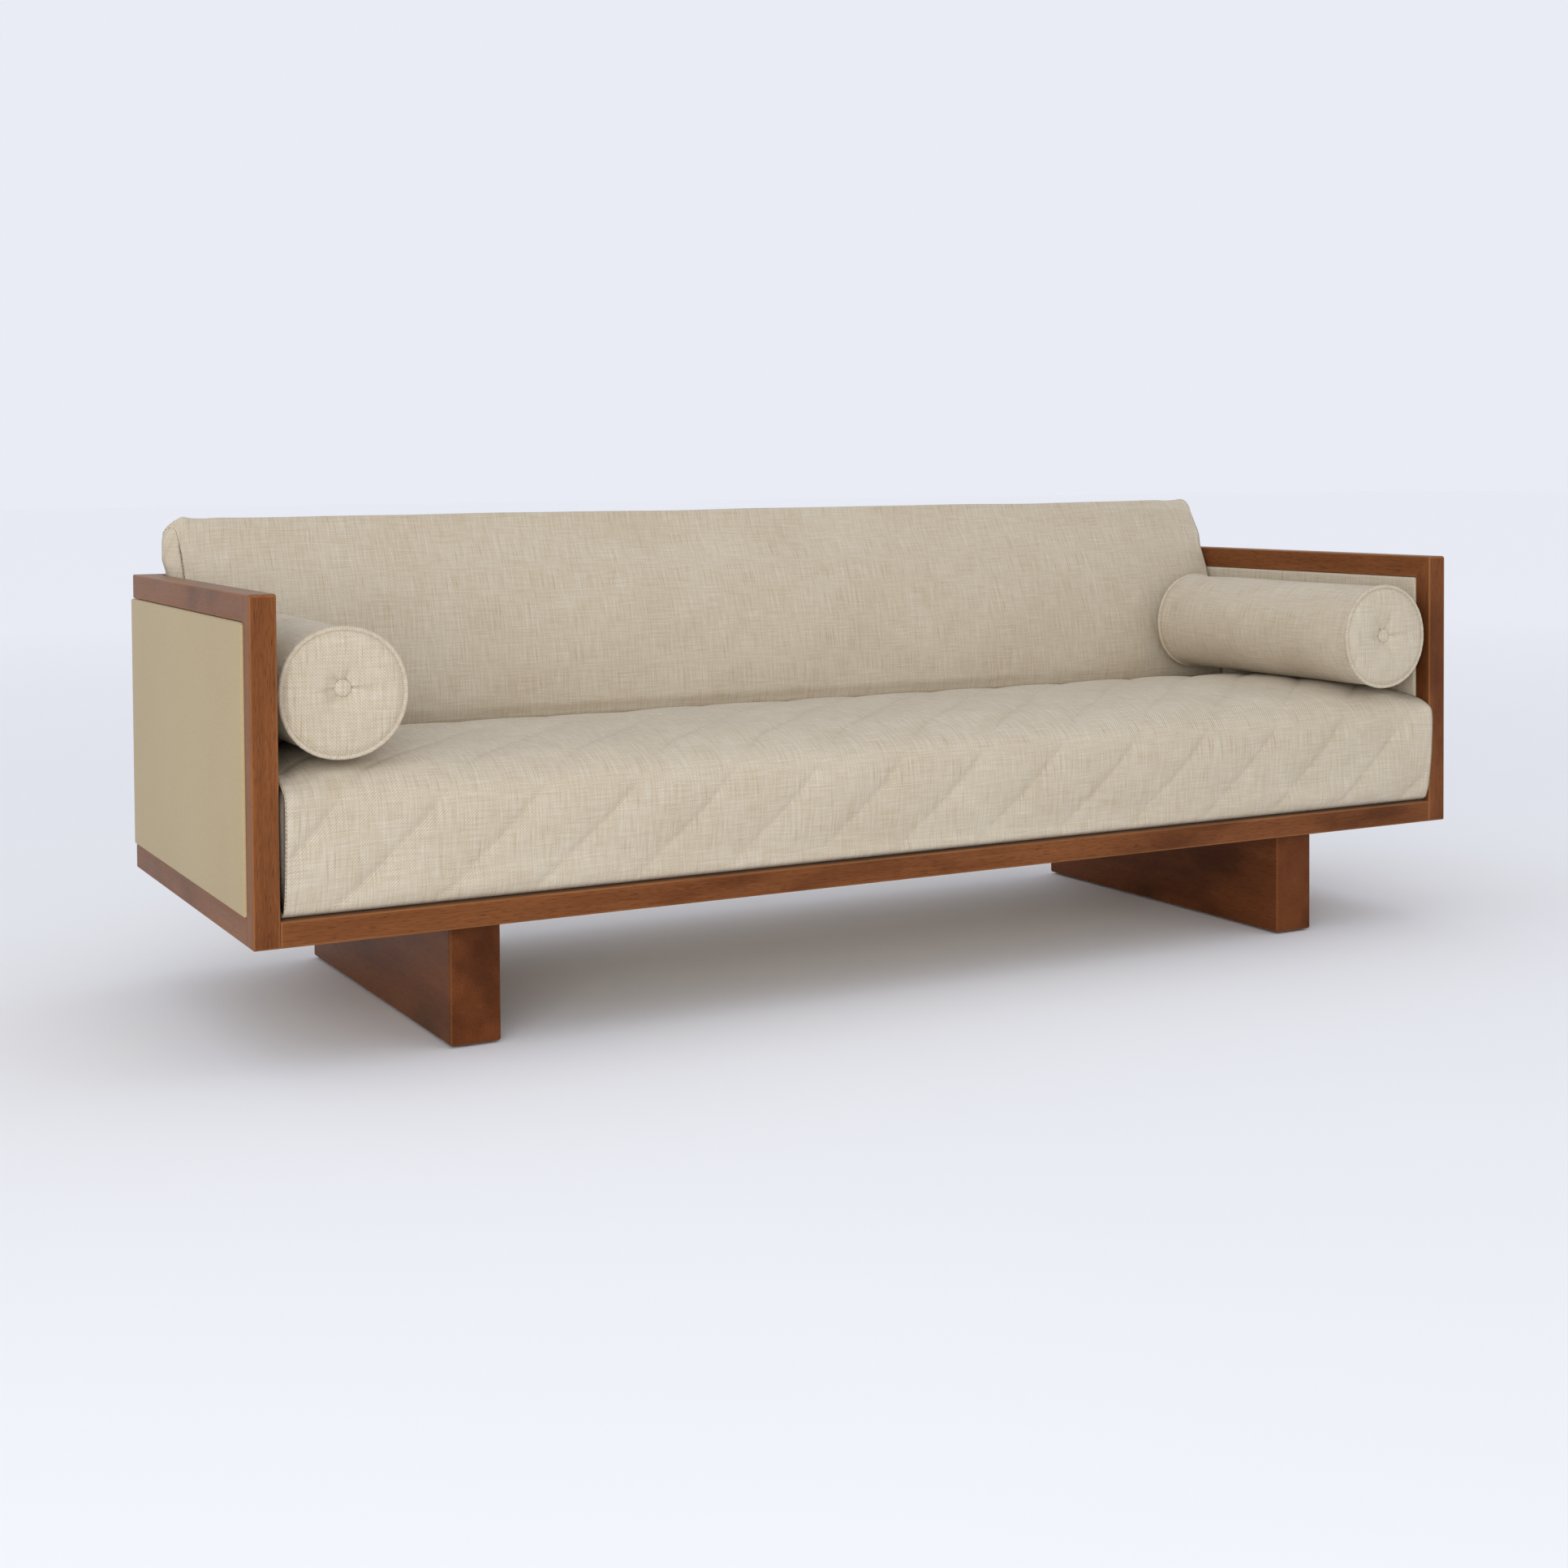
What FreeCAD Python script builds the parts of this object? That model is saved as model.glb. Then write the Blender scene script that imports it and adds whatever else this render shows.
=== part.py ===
import FreeCAD, Part
import math
import os
import Sketcher
from FreeCAD import Rotation, Vector

# A daybed: a low wooden box frame on two slab legs, with an upholstered panel in each
# arm and in the back, a slatted deck, one long seat cushion, a wedge back cushion and
# a bolster at each end.
#
# Frame of the model: millimetres, +Z up, origin on the floor under the frame's centre,
# +X to the right as seen from the front, -Y to the front.

DIMENSIONS = [
    ("overall_width", 2200, "outer face of one arm's timber to the other's"),
    ("arm_depth", 737.4, "front face of the posts to the rear ends of the arm rails"),
    ("arm_height", 665, "floor to the top of the arms"),
    ("underside", 180, "floor to the underside of the box frame"),
    ("arm_thickness", 38, "arm timber, across the bed"),
    ("post_depth", 34.2, "front post, front to rear"),
    ("rail_height", 39, "arm and rear rails, top to bottom"),
    ("front_rail_height", 37, "front rail, top to bottom"),
    ("rear_rail_depth", 34, "rear rails, front to rear"),
    ("edge_ease", 2.5, "radius on the long edges of the timber"),
    ("corner_round", 5, "radius of the mitred front top corner, seen from the side"),
    ("board_thickness", 10, "plywood board of an upholstered panel"),
    ("skin_thickness", 1.4, "leatherette or linen wrapped over a board"),
    ("panel_proud", 3.6, "how far an outer panel stands out past the timber"),
    ("panel_round", 4, "radius round an upholstered panel's face"),
    ("panel_gap", 0.6, "gap between a panel's edge and the timber"),
    ("inner_proud", 2.5, "how far an inner panel stands out past the timber's inner face"),
    ("rear_panel_inset", 6, "how far the rear inner panel lies behind the rail's face"),
    ("stud_width", 38, "rear studs, along the bed"),
    ("stud_pitch", 530, "spacing of the rear studs"),
    ("leg_thickness", 78, "slab leg, along the bed"),
    ("leg_inset", 291, "arm's outer face to the slab leg's outer face"),
    ("leg_rear_setback", 15, "arm rails' rear ends to the slab leg's rear face"),
    ("leg_ease", 5, "radius on the slab leg's edges"),
    ("glide_height", 3, "felt glide under the legs"),
    ("glide_radius", 16, "felt glide"),
    ("glide_margin", 40, "glide's centre in from the leg's end"),
    ("deck_height", 217, "floor to the top of the slats"),
    ("slat_thickness", 12, "deck slat"),
    ("slat_width", 68, "deck slat"),
    ("slat_pitch", 166.5, "spacing of the deck slats"),
    ("slat_clearance", 0.6, "slat's end to the rail"),
    ("ledger_width", 20, "ledger that carries the slats' ends"),
    ("beam_ease", 1.5, "radius on the long edges of ledgers and beams"),
    ("slat_ease", 2, "radius on the long edges of the slats"),
    ("ledger_short", 60, "ledger's end to the arm"),
    ("centre_beam_width", 40, "beam under the middle of the slats"),
    ("dowel_radius", 4, "beech dowel"),
    ("dowel_in_arm", 18, "dowel's length in the arm"),
    ("dowel_in_rail", 32, "dowel's length in the rail"),
    ("dowel_spread", 9.5, "dowel's height above or below the middle of its rail"),
    ("bolt_radius", 4, "leg bolt"),
    ("bolt_hole_radius", 4.3, "leg bolt's hole in the leg beam"),
    ("bolt_head_radius", 7, "leg bolt's head"),
    ("bolt_head_height", 5, "leg bolt's head, sunk in the leg beam"),
    ("bolt_head_clearance", 0.5, "leg bolt's head to the side of its bore"),
    ("bolt_in_leg", 45, "leg bolt's length in the leg"),
    ("bolt_spread_across", 20, "leg bolt's distance from the leg's middle, along the bed"),
    ("bolt_spread_along", 250, "leg bolt's distance from the leg beam's middle"),
    ("screw_radius", 2, "wood screw"),
    ("screw_head_radius", 4, "wood screw's head"),
    ("screw_head_height", 2, "wood screw's head"),
    ("slat_screw_length", 24, "slat screw"),
    ("bracket_leg", 50, "corner bracket's side"),
    ("bracket_thickness", 3, "corner bracket's plate"),
    ("bracket_height", 22, "corner bracket"),
    ("bracket_lift", 1, "corner bracket above the rails' undersides"),
    ("bracket_reach", 41, "bracket screw's distance from the box frame's inner corner"),
    ("bracket_screw_length", 18, "corner bracket's screw"),
    ("cover_thickness", 2, "linen cover of a cushion"),
    ("rest_gap", 0.3, "clearance where one loose cushion rests on something"),
    ("seat_end_gap", 4, "seat cushion's end to the arm"),
    ("seat_bulge", 14, "how far the seat cushion stands out past the front rail"),
    ("seat_crown_height", 427, "floor to the crown of the seat cushion"),
    ("seat_nose_height", 405, "floor to the top of the seat cushion's front edge"),
    ("seat_rear_height", 402, "floor to the seat cushion's top under the back cushion"),
    ("cushion_rear", 329, "rear faces of the seat and back cushions"),
    ("cushion_round", 12, "radius of the seat and back cushions' rear and lower edges"),
    ("seat_foot_depth", 32, "curve under the seat cushion's front, front to rear"),
    ("seat_foot_height", 122, "curve under the seat cushion's front, top to bottom"),
    ("seat_foot_bow_in", 10.5, "that curve's middle point, behind the front"),
    ("seat_foot_bow_up", 45, "that curve's middle point, above the underside"),
    ("seat_nose_drop", 36, "curve over the seat cushion's front edge, top to bottom"),
    ("seat_nose_depth", 34, "curve over the seat cushion's front edge, front to rear"),
    ("seat_nose_bow", 10.2, "that curve's middle point, in from the front and from the top"),
    ("seat_zip_height", 90, "seat cushion's zip above its underside"),
    ("back_front", 203, "foot of the back cushion's front face"),
    ("back_top", 762, "floor to the top of the back cushion"),
    ("back_top_round", 16, "radius of the back cushion's top rear edge"),
    ("back_shoulder_in", 62, "shoulder of the back cushion's front, in from its rear face"),
    ("back_shoulder_drop", 93, "shoulder of the back cushion's front, below its top"),
    ("back_upper_bow_in", 38, "front above the shoulder: its middle, in from the rear face"),
    ("back_upper_bow_drop", 48, "front above the shoulder: its middle, below the top"),
    ("back_lower_bow_in", 94, "front below the shoulder: its middle, in from the rear face"),
    ("back_lower_bow_drop", 170, "front below the shoulder: its middle, below the top"),
    ("back_zip_height", 60, "back cushion's zip above its underside"),
    ("back_end_gap", 5.5, "back cushion's end to the arm"),
    ("bolster_offset", 961, "bolster's centre line from the bed's middle"),
    ("bolster_radius", 95, "bolster over its piping"),
    ("left_bolster_front", 345, "left bolster's front button in front of the bed's middle"),
    ("right_bolster_front", 367, "right bolster's front button in front of the bed's middle"),
    ("bolster_length", 546, "bolster over its buttons"),
    ("piping_radius", 3.3, "piping cord in its sleeve"),
    ("piping_stand", 2, "how far the piping stands out past the bolster's side"),
    ("button_radius", 10, "covered button"),
    ("button_proud", 4, "covered button past the bolster's end"),
    ("shank_radius", 2.5, "covered button's shank"),
    ("shank_length", 26, "covered button's shank"),
    ("tape_width", 24, "zip tape"),
    ("tape_thickness", 1.4, "zip tape"),
    ("tape_sink", 0.6, "bolster's zip tape, sunk into the cover's round side"),
    ("slider_length", 12, "zip slider, along the zip"),
    ("slider_width", 8, "zip slider, across the zip"),
    ("slider_height", 2.4, "zip slider"),
    ("slider_gap", 0.4, "zip slider to the tape"),
    ("zip_margin", 60, "zip's end to the cushion's end"),
]

SLAT_COUNT = 13
STUD_COUNT = 3
SIDES = (("left", -1), ("right", 1))
ENDS = (-1, 1)
LEAST_BORED_SHARE = 0.4  # of the holes' full volume; part of a hole may lie in the open
HALF_TURN_SAG = 1 - math.sqrt(0.5)  # a corner round's middle, in from both faces, per radius

document = FreeCAD.newDocument("Daybed")
sheet = document.addObject("Spreadsheet::Sheet", "Sizes")


class Size:
    """A length, held both as a number and as the sheet expression that gives it."""

    def __init__(self, number, text):
        self.number = number
        self.text = text

    def __add__(self, other):
        return self.join("+", other, self.number + as_size(other).number)

    def __radd__(self, other):
        return as_size(other) + self

    def __sub__(self, other):
        return self.join("-", other, self.number - as_size(other).number)

    def __rsub__(self, other):
        return as_size(other) - self

    def __mul__(self, other):
        return self.join("*", other, self.number * as_size(other).number)

    def __rmul__(self, other):
        return as_size(other) * self

    def __truediv__(self, other):
        return self.join("/", other, self.number / as_size(other).number)

    def __neg__(self):
        return as_size(0) - self

    def join(self, sign, other, number):
        return Size(number, f"({self.text} {sign} {as_size(other).text})")


def as_size(value):
    """The value as a Size, whether it is one already or a plain number."""
    if isinstance(value, Size):
        return value
    return Size(float(value), f"({float(value)})")


class Sizes:
    """The sheet's dimensions by name."""


def fill_sheet():
    """Put each dimension in the sheet and return them all by name."""
    sizes = Sizes()
    for row, (alias, value, meaning) in enumerate(DIMENSIONS, 1):
        sheet.set(f"A{row}", meaning)
        sheet.set(f"B{row}", str(value))
        sheet.setAlias(f"B{row}", alias)
        setattr(sizes, alias, Size(float(value), f"Sizes.{alias}"))
    document.recompute()
    return sizes


def bind(thing, field, size):
    """Tie one property of an object to the sheet."""
    thing.setExpression(field, as_size(size).text)


def place(thing, low):
    """Tie an object's place to the sheet."""
    for axis, size in zip("xyz", low):
        bind(thing, f"Placement.Base.{axis}", size)


# ---------------------------------------------------------------- plain solids


def box(name, low, lengths):
    """A rectangular block from its low corner."""
    block = document.addObject("Part::Box", name)
    for field, length in zip(("Length", "Width", "Height"), lengths):
        bind(block, field, length)
    place(block, low)
    return block


# A round piece is made about +Z and turned to its axis. Along Y it is also spun about
# itself, so that its seam edge lies underneath, clear of what is cut into its sides.
TURNS = {
    "x": Rotation(Vector(0, 1, 0), 90),
    "y": Rotation(Vector(1, 0, 0), -90) * Rotation(Vector(0, 0, 1), 90),
    "z": Rotation(),
}


def rod(name, start, axis, radius, length):
    """A cylinder from the centre of its first end, along an axis."""
    cylinder = document.addObject("Part::Cylinder", name)
    cylinder.Placement = FreeCAD.Placement(Vector(), TURNS[axis])
    bind(cylinder, "Radius", radius)
    bind(cylinder, "Height", length)
    place(cylinder, start)
    return cylinder


def ring(name, centre, axis, radius, thickness):
    """A torus about an axis, thickness being its cord's radius."""
    torus = document.addObject("Part::Torus", name)
    torus.Placement = FreeCAD.Placement(Vector(), TURNS[axis])
    bind(torus, "Radius1", radius)
    bind(torus, "Radius2", thickness)
    place(torus, centre)
    return torus


def fused(name, pieces):
    """One solid from touching or overlapping pieces."""
    fuse = document.addObject("Part::MultiFuse", name)
    fuse.Shapes = pieces
    return fuse


def grouped(name, pieces):
    """Identical pieces kept as separate solids of one sub-part."""
    group = document.addObject("Part::Compound", name)
    group.Links = pieces
    return group


def cut(name, base, tools):
    """The base with every tool taken out of it."""
    result = document.addObject("Part::Cut", name)
    result.Base = base
    result.Tool = tools[0] if len(tools) == 1 else fused(f"{name}_tools", tools)
    return result


# ------------------------------------------------------------- sketched bodies


def plane(body, role):
    """One of a body's own origin planes."""
    for feature in body.Origin.OriginFeatures:
        if feature.Role == role:
            return feature
    raise RuntimeError(f"{body.Label} has no {role}")


def new_sketch(body, name, role, offset=0):
    """A sketch on a body's origin plane, moved along the plane's normal."""
    sketch = body.newObject("Sketcher::SketchObject", name)
    sketch.AttachmentSupport = [(plane(body, role), "")]
    sketch.MapMode = "FlatFace"
    bind(sketch, "AttachmentOffset.Base.z", offset)
    return sketch


def hold(sketch, geometry, point, x, y):
    """Fix a point of a sketch at its two sizes from the sketch's origin."""
    for kind, size in (("DistanceX", as_size(x)), ("DistanceY", as_size(y))):
        rule = Sketcher.Constraint(kind, -1, 1, geometry, point, size.number)
        number = sketch.addConstraint(rule)
        sketch.setExpression(f"Constraints[{number}]", size.text)


def spot(x, y):
    """A sketch point from two sizes."""
    return Vector(as_size(x).number, as_size(y).number, 0)


def add_span(sketch, start, end, bow=None):
    """A line, or an arc through the point bow, and the numbers of its two ends."""
    if bow is None:
        return sketch.addGeometry(Part.LineSegment(start, end)), 1, 2
    arc = sketch.addGeometry(Part.Arc(start, bow, end))
    if sketch.getPoint(arc, 1).distanceToPoint(start) < 1e-6:
        return arc, 1, 2
    return arc, 2, 1


def draw_outline(sketch, corners, bows=None):
    """A closed outline.

    Each corner is a pair of sizes. bows gives, for the span that leaves a corner, the
    point that an arc passes through; every other span is straight.
    """
    bows = bows or {}
    points = [spot(*corner) for corner in corners]
    spans = []
    for index, point in enumerate(points):
        bow = spot(*bows[index]) if index in bows else None
        spans.append(add_span(sketch, point, points[(index + 1) % len(points)], bow))
    for index, (geometry, first, last) in enumerate(spans):
        following, start, _ = spans[(index + 1) % len(spans)]
        sketch.addConstraint(Sketcher.Constraint("Coincident", geometry, last, following, start))
        hold(sketch, geometry, first, *corners[index])
    for index, (x, y) in bows.items():
        marker = sketch.addGeometry(Part.Point(spot(x, y)), True)
        sketch.addConstraint(Sketcher.Constraint("PointOnObject", marker, 1, spans[index][0]))
        hold(sketch, marker, 1, x, y)


def padded(body, sketch, length, middle=False):
    """Pad a sketch along its plane's normal."""
    pad = body.newObject("PartDesign::Pad", f"{body.Name}_pad")
    pad.Profile = sketch
    bind(pad, "Length", length)
    if middle:
        pad.SideType = "Symmetric"
    body.Tip = pad
    document.recompute()
    return pad


def profile_body(name, role, corners, length, low=(0, 0, 0), bows=None, middle=False):
    """A body padded from an outline on one of its origin planes."""
    body = document.addObject("PartDesign::Body", name)
    body.Label = name
    sketch = new_sketch(body, f"{name}_outline", role)
    draw_outline(sketch, corners, bows)
    padded(body, sketch, length, middle)
    place(body, low)
    return body


def rounded(body, wanted, radius):
    """Round the edges of a body's last feature that the test wanted picks."""
    shape = body.Tip.Shape
    names = [f"Edge{n}" for n, edge in enumerate(shape.Edges, 1) if wanted(edge)]
    before = body.Tip
    fillet = body.newObject("PartDesign::Fillet", f"{body.Name}_round")
    fillet.Base = (before, names)
    bind(fillet, "Radius", radius)
    body.Tip = fillet
    document.recompute()
    return body


def middle_of(edge):
    """The middle of an edge's box, which tells straight edges apart."""
    return edge.BoundBox.Center


def runs_along(edge, axis):
    """True for a straight edge parallel to an axis."""
    box_of = edge.BoundBox
    lengths = (box_of.XLength, box_of.YLength, box_of.ZLength)
    others = [length for index, length in enumerate(lengths) if index != "xyz".index(axis)]
    return max(others) < 1e-6


def drilled(body, role, offset, centres, radius, depth, along_normal=False):
    """Sink round holes into a body and check that they took something out."""
    before = body.Tip.Shape.Volume
    sketch = new_sketch(body, f"{body.Name}_holes", role, offset)
    for x, y in centres:
        circle = sketch.addGeometry(Part.Circle(spot(x, y), Vector(0, 0, 1), as_size(radius).number))
        hold(sketch, circle, 3, x, y)
        rule = sketch.addConstraint(Sketcher.Constraint("Radius", circle, as_size(radius).number))
        sketch.setExpression(f"Constraints[{rule}]", as_size(radius).text)
    pocket = body.newObject("PartDesign::Pocket", f"{body.Name}_bores")
    pocket.Profile = sketch
    bind(pocket, "Length", depth)
    pocket.Reversed = along_normal
    body.Tip = pocket
    document.recompute()
    expected = len(centres) * math.pi * as_size(radius).number ** 2 * as_size(depth).number
    removed = before - body.Tip.Shape.Volume
    if removed < LEAST_BORED_SHARE * expected:
        raise RuntimeError(f"{body.Label}: holes removed {removed:.0f} of {expected:.0f} mm3")
    return body


def timber(name, low, lengths, along, ease):
    """A straight length of timber with its long edges eased."""
    across, deep, high = lengths
    corners = [(0, 0), (across, 0), (across, deep), (0, deep)]
    body = profile_body(name, "XY_Plane", corners, high, low)
    return rounded(body, lambda edge: runs_along(edge, along), ease)


def panel(prefix, low, lengths, face):
    """An upholstered panel: a plywood board and the skin wrapped over it.

    face is the outward direction, such as "+x"; the skin covers that face and turns
    over the board's four edges.
    """
    axis = "xyz".index(face[1])
    outer = box(f"{prefix}_wrap", low, lengths)
    outer_round = document.addObject("Part::Fillet", f"{prefix}_wrap_round")
    outer_round.Base = outer
    document.recompute()
    outside = outer.Shape.BoundBox
    lows = (outside.XMin, outside.YMin, outside.ZMin)
    highs = (outside.XMax, outside.YMax, outside.ZMax)
    level = highs[axis] if face[0] == "+" else lows[axis]
    picked = []
    for number, edge in enumerate(outer.Shape.Edges, 1):
        centre = middle_of(edge)
        if abs((centre.x, centre.y, centre.z)[axis] - level) < 1e-6:
            picked.append((number, sizes.panel_round.number, sizes.panel_round.number))
    outer_round.Edges = picked
    board_low = []
    board_lengths = []
    for index in range(3):
        start = as_size(low[index])
        length = as_size(lengths[index])
        if index != axis:
            board_low.append(start + sizes.skin_thickness)
            board_lengths.append(length - 2 * sizes.skin_thickness)
        else:
            board_low.append(start if face[0] == "+" else start + sizes.skin_thickness)
            board_lengths.append(length - sizes.skin_thickness)
    board_block = box(f"{prefix}_board_block", board_low, board_lengths)
    board = document.addObject("Part::Fillet", f"{prefix}_board")
    board.Base = board_block
    document.recompute()
    inner_radius = sizes.panel_round.number - sizes.skin_thickness.number
    chosen = []
    level_in = level - sizes.skin_thickness.number * (1 if face[0] == "+" else -1)
    for number, edge in enumerate(board_block.Shape.Edges, 1):
        centre = middle_of(edge)
        if abs((centre.x, centre.y, centre.z)[axis] - level_in) < 1e-6:
            chosen.append((number, inner_radius, inner_radius))
    board.Edges = chosen
    skin = cut(f"{prefix}_skin", outer_round, [board])
    return board, skin


sizes = fill_sheet()
parts = {}

half_width = sizes.overall_width / 2
half_depth = sizes.arm_depth / 2
inner_width = sizes.overall_width - 2 * sizes.arm_thickness
half_inner = inner_width / 2
rail_low = sizes.arm_height - sizes.rail_height
bottom_rail_top = sizes.underside + sizes.rail_height
rear_rail_front = half_depth - sizes.rear_rail_depth
front_rail_rear = sizes.post_depth - half_depth
deck_underside = sizes.deck_height - sizes.slat_thickness


# ------------------------------------------------------------------- the arms


def mitred_body(name, low_x, run, foot):
    """A post or rail that ends in the mitred, rounded front top corner of an arm.

    run holds the corners from the mitre's inner end round to the last one before the
    rounded corner, and foot is where the rounded corner starts on this piece.
    """
    body = document.addObject("PartDesign::Body", name)
    body.Label = name
    sketch = new_sketch(body, f"{name}_outline", "YZ_Plane")
    tip = (-half_depth, sizes.arm_height)
    centre = (sizes.corner_round - half_depth, sizes.arm_height - sizes.corner_round)
    slope = spot(*run[0]) - spot(*tip)
    slope.normalize()
    radius = sizes.corner_round.number
    reach = radius * (slope.x - slope.y)
    crossing = spot(*tip) + slope * (reach - math.sqrt(reach**2 - radius**2))
    spread = (spot(*foot) - spot(*centre)) + (crossing - spot(*centre))
    spread.normalize()
    points = [spot(*corner) for corner in run] + [spot(*foot), crossing]
    spans = []
    for index, point in enumerate(points):
        onward = points[(index + 1) % len(points)]
        bow = spot(*centre) + spread * radius if index == len(run) else None
        spans.append(add_span(sketch, point, onward, bow))
    for index, (geometry, _, last) in enumerate(spans):
        following, start, _ = spans[(index + 1) % len(spans)]
        sketch.addConstraint(Sketcher.Constraint("Coincident", geometry, last, following, start))
    for index, corner in enumerate(list(run) + [foot]):
        hold(sketch, spans[index][0], spans[index][1], *corner)
    hold(sketch, spans[len(run)][0], 3, *centre)
    marker = sketch.addGeometry(Part.Point(spot(*tip)), True)
    hold(sketch, marker, 1, *tip)
    sketch.addConstraint(Sketcher.Constraint("PointOnObject", marker, 1, spans[-1][0]))
    padded(body, sketch, sizes.arm_thickness)
    place(body, (low_x, 0, 0))

    def off_the_mitre(edge):
        """True unless both ends of the edge lie in the mitre's plane."""
        offsets = [Vector(v.Y, v.Z, 0) - spot(*tip) for v in edge.Vertexes]
        return any(offset.cross(slope).Length > 1e-4 for offset in offsets)

    return rounded(body, off_the_mitre, sizes.edge_ease)


def build_arm(side, sign):
    """One arm: mitred post and top rail, bottom rail, rear stile and two panels."""
    low_x = -half_width if sign < 0 else half_inner
    inner_face = sizes.arm_thickness if sign < 0 else as_size(0)
    post_rear = sizes.post_depth - half_depth
    mitre = (post_rear, rail_low)
    post = mitred_body(
        f"{side}_front_post",
        low_x,
        [mitre, (post_rear, sizes.underside), (-half_depth, sizes.underside)],
        (-half_depth, sizes.arm_height - sizes.corner_round),
    )
    top_rail = mitred_body(
        f"{side}_arm_top_rail",
        low_x,
        [mitre, (half_depth, rail_low), (half_depth, sizes.arm_height)],
        (sizes.corner_round - half_depth, sizes.arm_height),
    )
    bottom_length = sizes.arm_depth - sizes.post_depth
    bottom_rail = timber(
        f"{side}_arm_bottom_rail",
        (low_x, post_rear, sizes.underside),
        (sizes.arm_thickness, bottom_length, sizes.rail_height),
        "y",
        sizes.edge_ease,
    )
    into_arm = sign > 0
    rear_dowel_y = half_depth - sizes.rear_rail_depth / 2
    front_dowel_y = sizes.post_depth / 2 - half_depth
    for body, centres in (
        (post, dowel_spots(front_dowel_y, sizes.underside + sizes.front_rail_height / 2)),
        (top_rail, dowel_spots(rear_dowel_y, sizes.arm_height - sizes.rail_height / 2)),
        (bottom_rail, dowel_spots(rear_dowel_y - post_rear, sizes.rail_height / 2)),
    ):
        drilled(body, "YZ_Plane", inner_face, centres, sizes.dowel_radius, sizes.dowel_in_arm, into_arm)
    middle_x = sizes.arm_thickness / 2
    post_holes = dowel_spots(middle_x, sizes.underside + sizes.rail_height / 2)
    drilled(post, "XZ_Plane", -post_rear, post_holes, sizes.dowel_radius, sizes.dowel_in_arm, True)
    rail_holes = dowel_spots(middle_x, sizes.rail_height / 2)
    drilled(bottom_rail, "XZ_Plane", 0, rail_holes, sizes.dowel_radius, sizes.dowel_in_rail, False)

    board = sizes.board_thickness
    skin = sizes.skin_thickness
    thickness = board + skin
    panel_height = rail_low - bottom_rail_top - 2 * sizes.panel_gap
    panel_low = bottom_rail_top + sizes.panel_gap
    outer_length = half_depth - post_rear - sizes.panel_gap
    outer_low = -half_width - sizes.panel_proud
    if sign > 0:
        outer_low = half_width + sizes.panel_proud - thickness
    outer_board, outer_skin = panel(
        f"{side}_arm_outer",
        (outer_low, post_rear + sizes.panel_gap, panel_low),
        (thickness, outer_length, panel_height),
        "-x" if sign < 0 else "+x",
    )
    inner_low = -half_inner + sizes.inner_proud - thickness
    if sign > 0:
        inner_low = half_inner - sizes.inner_proud
    inner_board, inner_skin = panel(
        f"{side}_arm_inner",
        (inner_low, post_rear + sizes.panel_gap, panel_low),
        (thickness, rear_rail_front - post_rear - 2 * sizes.panel_gap, panel_height),
        "+x" if sign < 0 else "-x",
    )
    stile_width = sizes.arm_thickness + sizes.panel_proud - thickness
    stile_low = -half_inner - stile_width if sign < 0 else half_inner
    stile = timber(
        f"{side}_rear_stile",
        (stile_low, rear_rail_front, bottom_rail_top),
        (stile_width, sizes.rear_rail_depth - thickness + sizes.panel_proud, rail_low - bottom_rail_top),
        "z",
        sizes.beam_ease,
    )
    for name, piece in (
        (f"{side}_front_post", post),
        (f"{side}_arm_top_rail", top_rail),
        (f"{side}_arm_bottom_rail", bottom_rail),
        (f"{side}_rear_stile", stile),
        (f"{side}_arm_outer_board", outer_board),
        (f"{side}_arm_outer_skin", outer_skin),
        (f"{side}_arm_inner_board", inner_board),
        (f"{side}_arm_inner_skin", inner_skin),
    ):
        parts[name] = piece


def dowel_spots(across, height):
    """The two dowel centres of a joint, one above the other."""
    return [(across, height - sizes.dowel_spread), (across, height + sizes.dowel_spread)]


# ------------------------------------------------------- rails, rear and deck


def build_cross_rail(name, low, height, depth):
    """A rail between the arms, bored at both ends for its dowels."""
    rail = timber(name, low, (inner_width, depth, height), "x", sizes.edge_ease)
    centres = dowel_spots(depth / 2, height / 2)
    drilled(rail, "YZ_Plane", 0, centres, sizes.dowel_radius, sizes.dowel_in_rail, True)
    drilled(rail, "YZ_Plane", inner_width, centres, sizes.dowel_radius, sizes.dowel_in_rail, False)
    parts[name] = rail


def build_cross_rails():
    """The front rail and the two rear rails."""
    left = -half_inner
    build_cross_rail(
        "front_rail", (left, -half_depth, sizes.underside), sizes.front_rail_height, sizes.post_depth
    )
    build_cross_rail(
        "rear_top_rail", (left, rear_rail_front, rail_low), sizes.rail_height, sizes.rear_rail_depth
    )
    build_cross_rail(
        "rear_bottom_rail",
        (left, rear_rail_front, sizes.underside),
        sizes.rail_height,
        sizes.rear_rail_depth,
    )


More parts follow.
